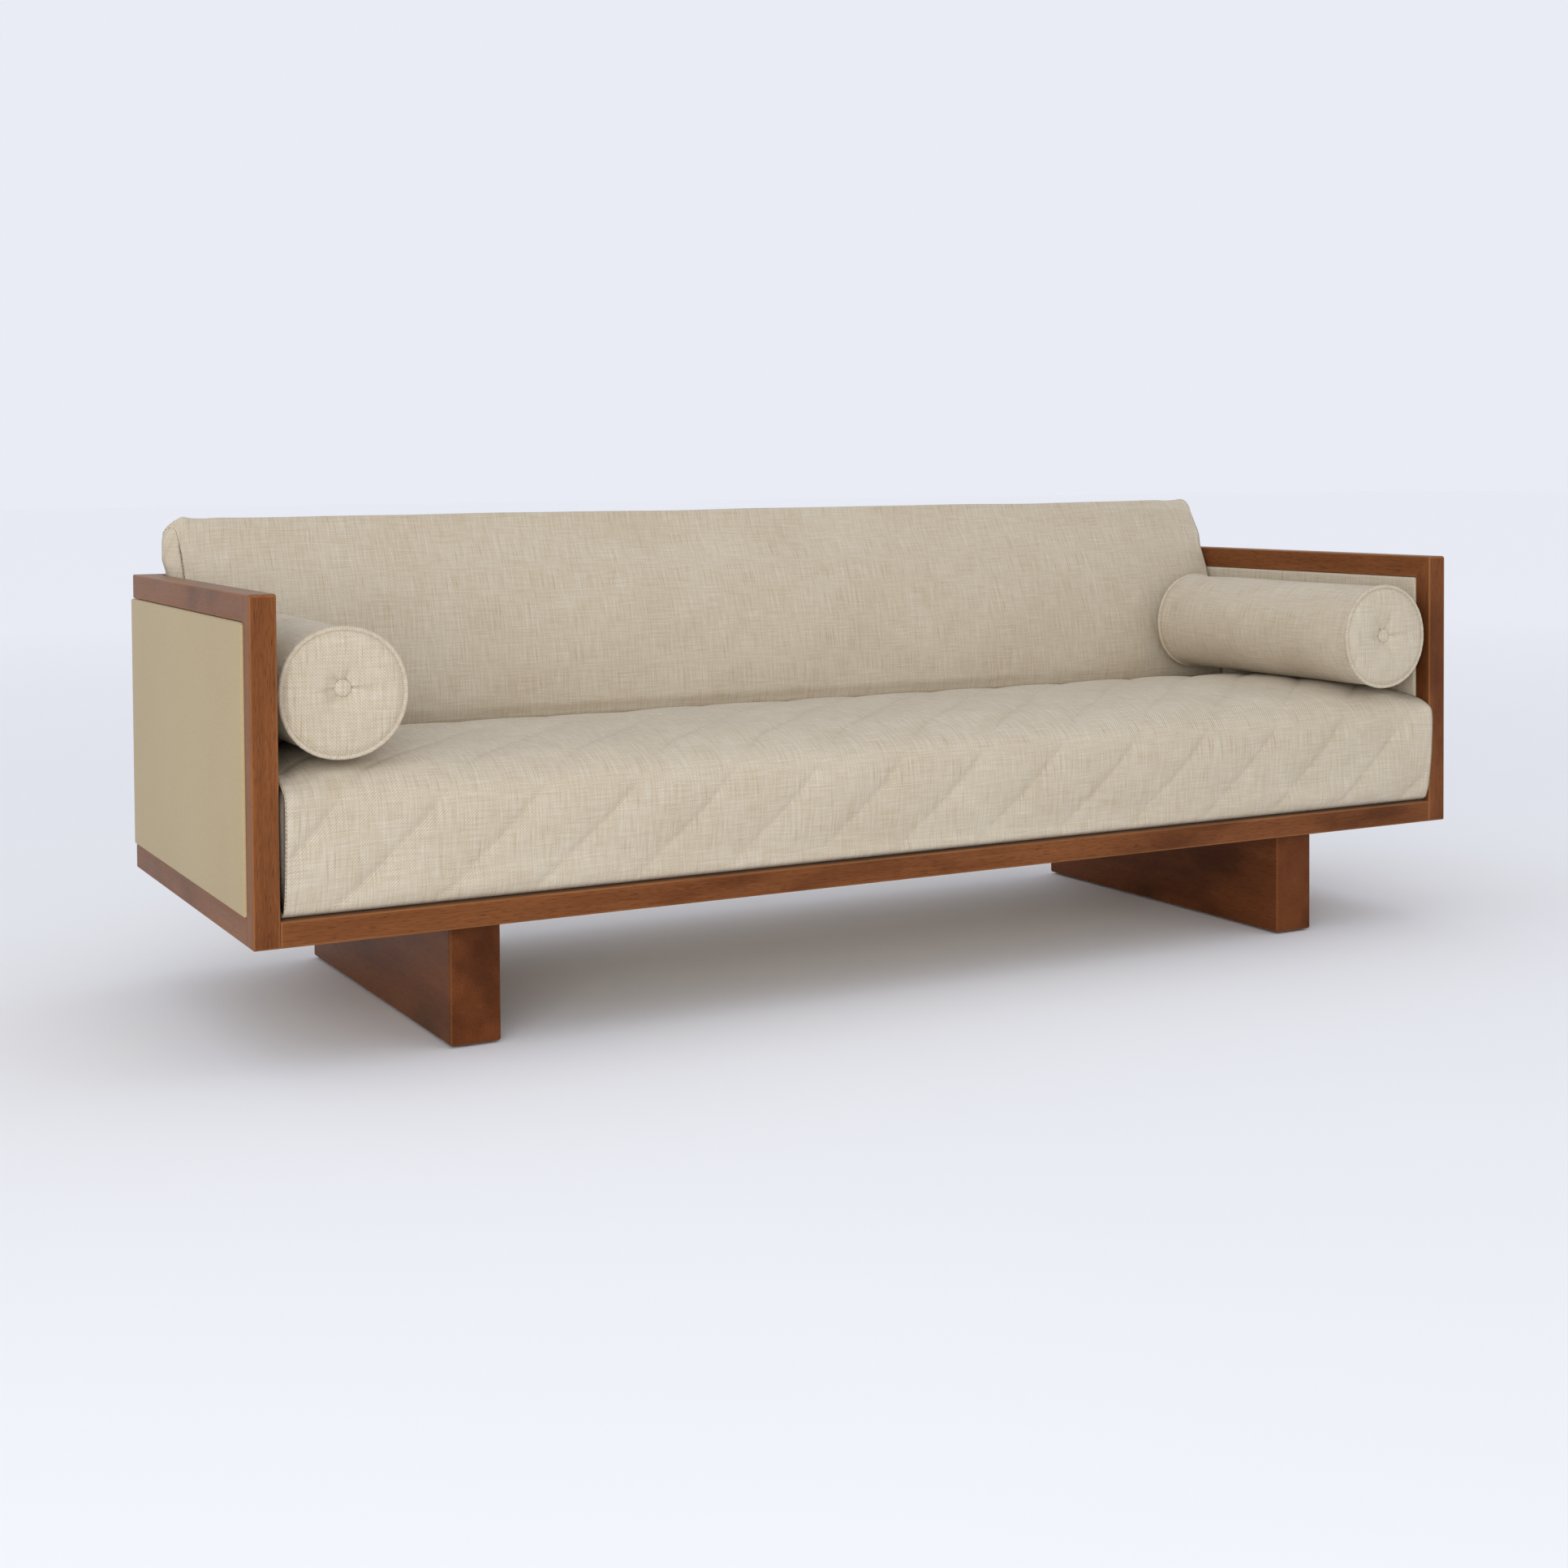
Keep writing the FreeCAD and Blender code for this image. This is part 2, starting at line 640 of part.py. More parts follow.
def build_rear():
    """The rear studs and the two upholstered rear panels."""
    thickness = sizes.board_thickness + sizes.skin_thickness
    height = rail_low - bottom_rail_top
    panel_low = bottom_rail_top + sizes.panel_gap
    panel_height = height - 2 * sizes.panel_gap
    arm_skin_inner = half_width + sizes.panel_proud - thickness
    outer_half = arm_skin_inner - sizes.panel_gap
    outer_low_y = half_depth + sizes.panel_proud - thickness
    parts["rear_outer_board"], parts["rear_outer_skin"] = panel(
        "rear_outer", (-outer_half, outer_low_y, panel_low), (2 * outer_half, thickness, panel_height), "+y"
    )
    inner_half = half_inner - sizes.panel_gap
    inner_low_y = rear_rail_front + sizes.rear_panel_inset
    parts["rear_inner_board"], parts["rear_inner_skin"] = panel(
        "rear_inner", (-inner_half, inner_low_y, panel_low), (2 * inner_half, thickness, panel_height), "-y"
    )
    stud_low_y = inner_low_y + thickness
    stud_depth = outer_low_y - stud_low_y
    studs = []
    for index in range(STUD_COUNT):
        middle = sizes.stud_pitch * (index - (STUD_COUNT - 1) / 2)
        low = (middle - sizes.stud_width / 2, stud_low_y, bottom_rail_top)
        studs.append(box(f"rear_stud_{index + 1}", low, (sizes.stud_width, stud_depth, height)))
    parts["rear_studs"] = grouped("rear_studs", studs)


def build_deck():
    """Ledgers, leg beams, centre beams and slats, with the slats' screws."""
    ledger_height = deck_underside - sizes.underside
    ledger_length = inner_width - 2 * sizes.ledger_short
    ledger_low_x = sizes.ledger_short - half_inner
    pitch = sizes.slat_pitch
    slat_middles = [pitch * (index - (SLAT_COUNT - 1) / 2) for index in range(SLAT_COUNT)]
    thread = sizes.slat_screw_length - sizes.slat_thickness
    for name, low_y in (
        ("front_ledger", front_rail_rear),
        ("rear_ledger", rear_rail_front - sizes.ledger_width),
    ):
        low = (ledger_low_x, low_y, sizes.underside)
        ledger = timber(name, low, (ledger_length, sizes.ledger_width, ledger_height), "x", sizes.beam_ease)
        centres = [(middle - ledger_low_x, sizes.ledger_width / 2) for middle in slat_middles]
        drilled(ledger, "XY_Plane", ledger_height, centres, sizes.screw_radius, thread)
        parts[name] = ledger

    slat_low_y = front_rail_rear + sizes.slat_clearance
    slat_length = rear_rail_front - front_rail_rear - 2 * sizes.slat_clearance
    screw_inset = sizes.ledger_width / 2 - sizes.slat_clearance
    slats = []
    screws = []
    for index, middle in enumerate(slat_middles, 1):
        low = (middle - sizes.slat_width / 2, slat_low_y, deck_underside)
        lengths = (sizes.slat_width, slat_length, sizes.slat_thickness)
        slat = timber(f"slat_{index}", low, lengths, "y", sizes.slat_ease)
        centres = [
            (sizes.slat_width / 2, screw_inset),
            (sizes.slat_width / 2, slat_length - screw_inset),
        ]
        drilled(slat, "XY_Plane", sizes.slat_thickness, centres, sizes.screw_radius, sizes.slat_thickness)
        drilled(
            slat, "XY_Plane", sizes.slat_thickness, centres, sizes.screw_head_radius, sizes.screw_head_height
        )
        slats.append(slat)
        for end, (_, along) in enumerate(centres, 1):
            foot = (middle, slat_low_y + along, sizes.deck_height - sizes.slat_screw_length)
            screws.append(screw(f"slat_screw_{index}_{end}", foot, "z", 1, sizes.slat_screw_length))
    parts["deck_slats"] = grouped("deck_slats", slats)
    parts["slat_screws"] = grouped("slat_screws", screws)


def screw(name, tip, axis, direction, length):
    """A wood screw from its tip, its head at the far end along the axis."""
    head_length = sizes.screw_head_height
    shank_start = tip if direction > 0 else shifted(tip, axis, -length)
    head_start = shifted(tip, axis, length - head_length if direction > 0 else -length)
    shank = rod(f"{name}_shank", shank_start, axis, sizes.screw_radius, length)
    head = rod(f"{name}_head", head_start, axis, sizes.screw_head_radius, head_length)
    return fused(name, [shank, head])


def shifted(point, axis, distance):
    """The point moved along an axis."""
    moved = list(point)
    index = "xyz".index(axis)
    moved[index] = as_size(point[index]) + distance
    return moved


# ------------------------------------------------------------------- the legs


def build_legs():
    """Slab legs, the beams above them, their bolts and felt glides."""
    beam_length = rear_rail_front - front_rail_rear - 2 * sizes.ledger_width
    beam_low_y = front_rail_rear + sizes.ledger_width
    beam_height = deck_underside - sizes.underside
    leg_length = sizes.arm_depth - sizes.post_depth - sizes.leg_rear_setback
    leg_height = sizes.underside - sizes.glide_height
    leg_middle = half_width - sizes.leg_inset - sizes.leg_thickness / 2
    bolts = []
    glides = []
    for side, sign in SIDES:
        middle = sign * leg_middle
        low_x = middle - sizes.leg_thickness / 2
        spots = []
        for across in ENDS:
            for along in ENDS:
                x = sizes.leg_thickness / 2 + across * sizes.bolt_spread_across
                y = beam_length / 2 + along * sizes.bolt_spread_along
                spots.append((x, y))
        beam = timber(
            f"{side}_leg_beam",
            (low_x, beam_low_y, sizes.underside),
            (sizes.leg_thickness, beam_length, beam_height),
            "y",
            sizes.beam_ease,
        )
        drilled(beam, "XY_Plane", beam_height, spots, sizes.bolt_hole_radius, beam_height)
        bore_radius = sizes.bolt_head_radius + sizes.bolt_head_clearance
        drilled(beam, "XY_Plane", beam_height, spots, bore_radius, sizes.bolt_head_height)
        parts[f"{side}_leg_beam"] = beam

        leg = slab_leg(f"{side}_leg", (low_x, front_rail_rear, sizes.glide_height), leg_length, leg_height)
        shift = beam_low_y - front_rail_rear
        leg_spots = [(x, y + shift) for x, y in spots]
        drilled(leg, "XY_Plane", leg_height, leg_spots, sizes.bolt_radius, sizes.bolt_in_leg)
        parts[f"{side}_leg"] = leg

        for index, (x, y) in enumerate(spots, 1):
            foot = (low_x + x, beam_low_y + y, sizes.underside - sizes.bolt_in_leg)
            shank_length = sizes.bolt_in_leg + beam_height - sizes.bolt_head_height
            shank = rod(f"{side}_bolt_{index}_shank", foot, "z", sizes.bolt_radius, shank_length)
            top = (foot[0], foot[1], deck_underside - sizes.bolt_head_height)
            head = rod(f"{side}_bolt_{index}_head", top, "z", sizes.bolt_head_radius, sizes.bolt_head_height)
            bolts.append(fused(f"{side}_bolt_{index}", [shank, head]))
        for index, y in enumerate((sizes.glide_margin, leg_length - sizes.glide_margin), 1):
            spot_low = (middle, front_rail_rear + y, 0)
            glides.append(rod(f"{side}_glide_{index}", spot_low, "z", sizes.glide_radius, sizes.glide_height))
    parts["leg_bolts"] = grouped("leg_bolts", bolts)
    parts["floor_glides"] = grouped("floor_glides", glides)
    build_centre_beams(leg_middle, beam_height)


def slab_leg(name, low, length, height):
    """A solid slab with every edge but those against the frame softly rounded."""
    corners = [(0, 0), (sizes.leg_thickness, 0), (sizes.leg_thickness, length), (0, length)]
    leg = profile_body(name, "XY_Plane", corners, height, low)
    top = height.number
    return rounded(leg, lambda edge: middle_of(edge).z < top - 1e-6, sizes.leg_ease)


def build_centre_beams(leg_middle, beam_height):
    """Three lengths of beam under the middle of the slats, between the leg beams."""
    inner_end = leg_middle - sizes.leg_thickness / 2
    outer_start = leg_middle + sizes.leg_thickness / 2
    low_y = -sizes.centre_beam_width / 2
    beams = []
    for name, start, end in (
        ("left_centre_beam", -half_inner, -outer_start),
        ("middle_centre_beam", -inner_end, inner_end),
        ("right_centre_beam", outer_start, half_inner),
    ):
        low = (start, low_y, sizes.underside)
        lengths = (end - start, sizes.centre_beam_width, beam_height)
        beams.append(timber(name, low, lengths, "x", sizes.beam_ease))
    parts["centre_beams"] = grouped("centre_beams", beams)


# ---------------------------------------------------------- joints of the box


def build_dowels():
    """The dowels of every rail joint, two to a joint."""
    length = sizes.dowel_in_arm + sizes.dowel_in_rail
    front_y = sizes.post_depth / 2 - half_depth
    rear_y = half_depth - sizes.rear_rail_depth / 2
    joints = {
        "front": (front_y, sizes.underside + sizes.front_rail_height / 2),
        "rear_top": (rear_y, sizes.arm_height - sizes.rail_height / 2),
        "rear_bottom": (rear_y, sizes.underside + sizes.rail_height / 2),
    }
    dowels = []
    for side, sign in SIDES:
        start_x = -half_inner - sizes.dowel_in_arm if sign < 0 else half_inner - sizes.dowel_in_rail
        for joint, (y, middle) in joints.items():
            for step in ENDS:
                start = (start_x, y, middle + step * sizes.dowel_spread)
                name = f"{side}_{joint}_dowel_{(step + 3) // 2}"
                dowels.append(rod(name, start, "x", sizes.dowel_radius, length))
        arm_x = sign * (half_width - sizes.arm_thickness / 2)
        for step in ENDS:
            height = sizes.underside + sizes.rail_height / 2 + step * sizes.dowel_spread
            start = (arm_x, front_rail_rear - sizes.dowel_in_arm, height)
            name = f"{side}_post_dowel_{(step + 3) // 2}"
            dowels.append(rod(name, start, "y", sizes.dowel_radius, length))
    parts["joint_dowels"] = grouped("joint_dowels", dowels)


def build_brackets():
    """Steel angle brackets in the box frame's four lower corners, and their screws."""
    brackets = []
    screws = []
    low_z = sizes.underside + sizes.bracket_lift
    middle_z = low_z + sizes.bracket_height / 2
    reach = sizes.bracket_reach
    for side, sign in SIDES:
        for end, end_sign in (("front", -1), ("rear", 1)):
            wall = front_rail_rear if end_sign < 0 else rear_rail_front
            name = f"{side}_{end}_bracket"
            rail_low_x = -half_inner if sign < 0 else half_inner - sizes.bracket_leg
            rail_low_y = wall if end_sign < 0 else wall - sizes.bracket_thickness
            on_rail = box(
                f"{name}_on_rail",
                (rail_low_x, rail_low_y, low_z),
                (sizes.bracket_leg, sizes.bracket_thickness, sizes.bracket_height),
            )
            arm_low_x = -half_inner if sign < 0 else half_inner - sizes.bracket_thickness
            arm_low_y = wall if end_sign < 0 else wall - sizes.bracket_leg
            on_arm = box(
                f"{name}_on_arm",
                (arm_low_x, arm_low_y, low_z),
                (sizes.bracket_thickness, sizes.bracket_leg, sizes.bracket_height),
            )
            plate = fused(f"{name}_plate", [on_rail, on_arm])
            thread = sizes.bracket_screw_length - sizes.bracket_thickness
            rail_tip = (sign * (half_inner - reach), wall + end_sign * thread, middle_z)
            arm_tip = (sign * (half_inner + thread), wall - end_sign * reach, middle_z)
            length = sizes.bracket_screw_length + sizes.screw_head_height
            pair = [
                screw(f"{name}_rail_screw", rail_tip, "y", -end_sign, length),
                screw(f"{name}_arm_screw", arm_tip, "x", -sign, length),
            ]
            screws.extend(pair)
            brackets.append(cut(name, plate, pair))
    parts["corner_brackets"] = grouped("corner_brackets", brackets)
    parts["bracket_screws"] = grouped("bracket_screws", screws)


# --------------------------------------------------------------- the cushions


def shrunk(name, source):
    """The filling of a cover: the same solid, smaller by the cover's thickness."""
    inner = document.addObject("Part::Offset", name)
    inner.Source = source
    bind(inner, "Value", -sizes.cover_thickness)
    inner.Join = "Intersection"
    return inner


def zip_along_x(prefix, half_length, height):
    """A zip in the rear face of a long cushion: its tape and its slider."""
    tape_half = half_length - sizes.zip_margin
    low = (-tape_half, sizes.cushion_rear - sizes.tape_thickness, height - sizes.tape_width / 2)
    tape = box(f"{prefix}_zip", low, (2 * tape_half, sizes.tape_thickness, sizes.tape_width))
    slider_y = sizes.cushion_rear + sizes.slider_gap
    slider_low = (-tape_half, slider_y, height - sizes.slider_width / 2)
    lengths = (sizes.slider_length, sizes.slider_height, sizes.slider_width)
    slider = box(f"{prefix}_zip_slider", slider_low, lengths)
    parts[f"{prefix}_zip"] = tape
    parts[f"{prefix}_zip_slider"] = slider
    return tape


def build_seat():
    """The seat cushion: crowned where it is sat on, flat under the back cushion."""
    base = sizes.deck_height + sizes.rest_gap
    front = -half_depth - sizes.seat_bulge
    rear = sizes.cushion_rear
    top = sizes.seat_rear_height
    nose = sizes.seat_nose_height
    edge = sizes.cushion_round
    corners = [
        (front + sizes.seat_foot_depth, base),
        (front, base + sizes.seat_foot_height),
        (front, nose - sizes.seat_nose_drop),
        (front + sizes.seat_nose_depth, nose),
        (sizes.back_front, top),
        (rear - edge, top),
        (rear, top - edge),
        (rear, base + edge),
        (rear - edge, base),
    ]
    middle = (front + sizes.back_front) / 2
    sag = edge * HALF_TURN_SAG
    bows = {
        0: (front + sizes.seat_foot_bow_in, base + sizes.seat_foot_bow_up),
        2: (front + sizes.seat_nose_bow, nose - sizes.seat_nose_bow),
        3: (middle, sizes.seat_crown_height),
        5: (rear - sag, top - sag),
        7: (rear - sag, base + sag),
    }
    length = inner_width - 2 * sizes.seat_end_gap
    whole = profile_body("seat_form", "YZ_Plane", corners, length, bows=bows, middle=True)
    core = shrunk("seat_core", whole)
    tape = zip_along_x("seat", length / 2, base + sizes.seat_zip_height)
    parts["seat_core"] = core
    parts["seat_cover"] = cut("seat_cover", whole, [core, tape])


def build_back():
    """The back cushion: a wedge with a soft bowed front and a rounded top."""
    base = sizes.seat_rear_height + sizes.rest_gap
    foot = sizes.back_front
    top = sizes.back_top
    rear = sizes.cushion_rear
    edge = sizes.cushion_round
    top_edge = sizes.back_top_round
    corners = [
        (foot, base),
        (rear - edge, base),
        (rear, base + edge),
        (rear, top - top_edge),
        (rear - top_edge, top),
        (rear - sizes.back_shoulder_in, top - sizes.back_shoulder_drop),
    ]
    sag = edge * HALF_TURN_SAG
    top_sag = top_edge * HALF_TURN_SAG
    bows = {
        1: (rear - sag, base + sag),
        3: (rear - top_sag, top - top_sag),
        4: (rear - sizes.back_upper_bow_in, top - sizes.back_upper_bow_drop),
        5: (rear - sizes.back_lower_bow_in, top - sizes.back_lower_bow_drop),
    }
    length = inner_width - 2 * sizes.back_end_gap
    whole = profile_body("back_form", "YZ_Plane", corners, length, bows=bows, middle=True)
    core = shrunk("back_core", whole)
    tape = zip_along_x("back", length / 2, base + sizes.back_zip_height)
    parts["back_core"] = core
    parts["back_cover"] = cut("back_cover", whole, [core, tape])


def stepped_roll(name, centre, start, length, radius, wall):
    """A roll whose ends are stepped in to seat the piping.

    wall is how far the roll lies inside the cover's outer surface: nothing for the
    cover itself and the cover's thickness for the filling.
    """
    x, z = centre
    step = 2 * sizes.piping_radius
    end_radius = sizes.bolster_radius - step
    wide_start = start + step + wall
    wide_length = length - 2 * (step + wall)
    wide = rod(f"{name}_wide", (x, wide_start, z), "y", radius - wall, wide_length)
    narrow = rod(f"{name}_narrow", (x, start + wall, z), "y", end_radius - wall, length - 2 * wall)
    return fused(name, [wide, narrow])


def build_bolster(side, sign):
    """A bolster: cover, filling, two rings of piping, two covered buttons and a zip."""
    name = f"{side}_bolster"
    x = sign * sizes.bolster_offset
    z = sizes.seat_crown_height + sizes.rest_gap + sizes.bolster_radius
    nearest = sizes.left_bolster_front if side == "left" else sizes.right_bolster_front
    front = sizes.button_proud - nearest
    length = sizes.bolster_length - 2 * sizes.button_proud
    radius = sizes.bolster_radius - sizes.piping_stand
    whole = stepped_roll(f"{name}_form", (x, z), front, length, radius, as_size(0))
    filling = stepped_roll(f"{name}_filling", (x, z), front, length, radius, sizes.cover_thickness)

    ring_radius = sizes.bolster_radius - sizes.piping_radius
    rings = []
    buttons = []
    for end, direction in (("front", 1), ("rear", -1)):
        face = front if direction > 0 else front + length
        ring_y = face + direction * sizes.piping_radius
        rings.append(ring(f"{name}_{end}_ring", (x, ring_y, z), "y", ring_radius, sizes.piping_radius))
        cap_start = face - sizes.button_proud if direction > 0 else face
        cap = rod(f"{name}_{end}_cap", (x, cap_start, z), "y", sizes.button_radius, sizes.button_proud)
        shank_start = face if direction > 0 else face - sizes.shank_length
        shank = rod(f"{name}_{end}_shank", (x, shank_start, z), "y", sizes.shank_radius, sizes.shank_length)
        buttons.append(fused(f"{name}_{end}_button", [cap, shank]))
    parts[f"{name}_piping"] = grouped(f"{name}_piping", rings)
    parts[f"{name}_buttons"] = grouped(f"{name}_buttons", buttons)

    tape_out = radius - sizes.tape_sink
    tape_low_x = x - tape_out if sign < 0 else x + tape_out - sizes.tape_thickness
    tape_length = length - 2 * sizes.zip_margin
    tape = box(
        f"{name}_zip",
        (tape_low_x, front + sizes.zip_margin, z - sizes.tape_width / 2),
        (sizes.tape_thickness, tape_length, sizes.tape_width),
    )
    slider_out = radius + sizes.slider_gap
    slider_low_x = x - slider_out - sizes.slider_height if sign < 0 else x + slider_out
    slider = box(
        f"{name}_zip_slider",
        (slider_low_x, front + sizes.zip_margin, z - sizes.slider_width / 2),
        (sizes.slider_height, sizes.slider_length, sizes.slider_width),
    )
    parts[f"{name}_zip"] = tape
    parts[f"{name}_zip_slider"] = slider
    parts[f"{name}_core"] = cut(f"{name}_core", filling, [*buttons, tape])
    parts[f"{name}_cover"] = cut(f"{name}_cover", whole, [filling, *buttons, tape])


# ------------------------------------------------------------- make and write


def check_document():
    """Stop if any object failed to build or any sub-part has no good shape."""
    for thing in document.Objects:
        if {"Invalid", "Error"} & set(thing.State):
            raise RuntimeError(f"{thing.Label} is {thing.State}")
    for name, piece in parts.items():
        shape = piece.Shape
        if shape.isNull() or not shape.isValid() or not shape.Solids:
            raise RuntimeError(f"{name} has no valid solid")


def write_parts():
    """Write each sub-part's shape to its own STEP file."""
    os.makedirs("parts", exist_ok=True)
    for name, piece in parts.items():
        piece.Label = name
        piece.Shape.exportStep(f"parts/{name}.step")


for side_name, side_sign in SIDES:
    build_arm(side_name, side_sign)
build_cross_rails()
build_rear()
build_deck()
build_legs()
build_dowels()
build_brackets()
build_seat()
build_back()
for side_name, side_sign in SIDES:
    build_bolster(side_name, side_sign)
document.recompute()
check_document()
write_parts()
print(f"{len(parts)} sub-parts written")
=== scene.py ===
import logging
import math
from dataclasses import dataclass, field
from enum import Enum

import bpy
import numpy as np
from mathutils import Matrix, Vector


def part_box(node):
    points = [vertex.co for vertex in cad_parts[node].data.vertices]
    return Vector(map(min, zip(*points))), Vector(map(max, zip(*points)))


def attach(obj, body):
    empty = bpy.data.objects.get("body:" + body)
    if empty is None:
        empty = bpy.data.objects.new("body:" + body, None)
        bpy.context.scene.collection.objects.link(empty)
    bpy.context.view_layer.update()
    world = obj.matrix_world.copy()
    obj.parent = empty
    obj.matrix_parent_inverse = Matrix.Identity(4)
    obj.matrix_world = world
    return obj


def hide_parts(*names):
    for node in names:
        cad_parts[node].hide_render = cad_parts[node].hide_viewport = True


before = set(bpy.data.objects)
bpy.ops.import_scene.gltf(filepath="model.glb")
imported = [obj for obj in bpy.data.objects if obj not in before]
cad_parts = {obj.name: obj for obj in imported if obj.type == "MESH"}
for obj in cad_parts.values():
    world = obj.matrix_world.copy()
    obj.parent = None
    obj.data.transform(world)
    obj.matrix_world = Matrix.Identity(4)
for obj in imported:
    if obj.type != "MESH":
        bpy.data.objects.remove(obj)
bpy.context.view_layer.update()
SEED = 7

logging.basicConfig(level=logging.INFO, format="%(message)s")
log = logging.getLogger("daybed")

Array = np.ndarray
Colour = tuple[float, float, float]


class Axis(Enum):
    """The way a timber's grain or a panel's face runs."""

    X = 0
    Y = 1
    Z = 2


class Side(Enum):
    """One end of the daybed, as seen from the front."""

    LEFT = -1
    RIGHT = 1

    @property
    def word(self) -> str:
        """The side's name as it stands in node names."""
        return self.name.lower()


# ------------------------------------------------------------------ node trees


class Graph:
    """A material's node tree, with short calls for the nodes that the finishes use."""

    def __init__(self, name: str) -> None:
        """Start an empty material.

        Args:
            name: the material's name.
        """
        self.material = bpy.data.materials.new(name)
        self.material.use_nodes = True
        self.tree = self.material.node_tree
        self.tree.nodes.clear()
        self.shader = self.node("ShaderNodeBsdfPrincipled")
        output = self.node("ShaderNodeOutputMaterial")
        self.tree.links.new(self.shader.outputs["BSDF"], output.inputs["Surface"])

    def node(self, kind: str, **settings: object) -> bpy.types.Node:
        """Add a node and set its own settings.

        Args:
            kind: the node's Blender type.
            settings: attributes of the node.

        Returns:
            The new node.
        """
        made = self.tree.nodes.new(kind)
        for name, value in settings.items():
            setattr(made, name, value)
        return made

    def put(self, value: object, socket: bpy.types.NodeSocket) -> None:
        """Join a socket or a plain value to an input.

        Args:
            value: an output socket, a number or a tuple.
            socket: the input.
        """
        if isinstance(value, bpy.types.NodeSocket):
            self.tree.links.new(value, socket)
        else:
            socket.default_value = value

    def math(self, operation: str, *values: object) -> bpy.types.NodeSocket:
        """One sum of one, two or three values.

        Args:
            operation: the Math node's operation.
            values: sockets or numbers.

        Returns:
            The result.
        """
        made = self.node("ShaderNodeMath", operation=operation)
        for value, socket in zip(values, made.inputs):
            self.put(value, socket)
        return made.outputs[0]

    def vector(self, x: object, y: object, z: object = 0.0) -> bpy.types.NodeSocket:
        """A vector from three values.

        Args:
            x: first part.
            y: second part.
            z: third part.

        Returns:
            The vector.
        """
        made = self.node("ShaderNodeCombineXYZ")
        for value, socket in zip((x, y, z), made.inputs):
            self.put(value, socket)
        return made.outputs[0]

    def split(self, vector: bpy.types.NodeSocket) -> list[bpy.types.NodeSocket]:
        """The three parts of a vector.

        Args:
            vector: the vector.

        Returns:
            Its three parts.
        """
        made = self.node("ShaderNodeSeparateXYZ")
        self.put(vector, made.inputs[0])
        return list(made.outputs)

    def scaled(self, vector: bpy.types.NodeSocket, scale: tuple) -> bpy.types.NodeSocket:
        """A vector stretched by its own factor along each axis.

        Args:
            vector: the vector.
            scale: three factors.

        Returns:
            The stretched vector.
        """
        made = self.node("ShaderNodeVectorMath", operation="MULTIPLY")
        self.put(vector, made.inputs[0])
        made.inputs[1].default_value = scale
        return made.outputs[0]

    def noise(self, vector: object, scale: float = 1.0, detail: float = 2.0) -> bpy.types.NodeSocket:
        """Smooth noise from 0 to 1.

        Args:
            vector: where it is read.
            scale: bumps to the metre.
            detail: octaves.

        Returns:
            The noise's value.
        """
        made = self.node("ShaderNodeTexNoise")
        self.put(vector, made.inputs["Vector"])
        made.inputs["Scale"].default_value = scale
        made.inputs["Detail"].default_value = detail
        return made.outputs["Fac"]

    def fit(
        self, value: object, low: float, high: float, to_low: float = 0.0, to_high: float = 1.0
    ) -> bpy.types.NodeSocket:
        """A value's range moved to another, held inside it.

        Args:
            value: the value.
            low: the old range's low end.
            high: the old range's high end.
            to_low: the new range's low end.
            to_high: the new range's high end.

        Returns:
            The moved value.
        """
        made = self.node("ShaderNodeMapRange")
        for number, part in enumerate((value, low, high, to_low, to_high)):
            self.put(part, made.inputs[number])
        return made.outputs[0]

    def blend(self, factor: object, first: object, second: object) -> bpy.types.NodeSocket:
        """A colour between two.

        Args:
            factor: 0 for the first, 1 for the second.
            first: a colour or a colour socket.
            second: a colour or a colour socket.

        Returns:
            The mixed colour.
        """
        made = self.node("ShaderNodeMix", data_type="RGBA")
        self.put(factor, made.inputs[0])
        for value, socket in ((first, made.inputs[6]), (second, made.inputs[7])):
            self.put((*value, 1.0) if isinstance(value, tuple) else value, socket)
        return made.outputs[2]

    def weighed(self, *parts: tuple) -> bpy.types.NodeSocket:
        """The sum of several values, each times its weight.

        Args:
            parts: pairs of a socket and its weight.

        Returns:
            The sum.
        """
        terms = [self.math("MULTIPLY", value, weight) for value, weight in parts]
        total = terms[0]
        for term in terms[1:]:
            total = self.math("ADD", total, term)
        return total

    def streaks(
        self, x: object, y: object, scale: tuple[float, float], layer: float = 0.0
    ) -> bpy.types.NodeSocket:
        """Noise drawn out along one of two ways on a flat cloth.

        Args:
            x: the place one way.
            y: the place the other way.
            scale: bumps to the unit along each.
            layer: which sheet of the noise is read.

        Returns:
            The noise's value.
        """
        spot = self.vector(self.math("MULTIPLY", x, scale[0]), self.math("MULTIPLY", y, scale[1]), layer)
        return self.noise(spot, 1.0, 3.0)

    def bump(self, height: bpy.types.NodeSocket, distance: float, strength: float = 1.0) -> None:
        """Raise the surface by a height.

        Args:
            height: the height, from 0 to 1.
            distance: what 1 stands for, in metres.
            strength: how strongly it tilts the surface.
        """
        made = self.node("ShaderNodeBump")
        made.inputs["Strength"].default_value = strength
        made.inputs["Distance"].default_value = distance
        self.put(height, made.inputs["Height"])
        self.put(made.outputs["Normal"], self.shader.inputs["Normal"])

    def surface(self, **values: object) -> None:
        """Set the shader's own sockets.

        Args:
            values: sockets by name, with underscores for spaces.
        """
        for name, value in values.items():
            self.put(value, self.shader.inputs[name.replace("_", " ").title().replace("Ior", "IOR")])


# -------------------------------------------------------------------- finishes


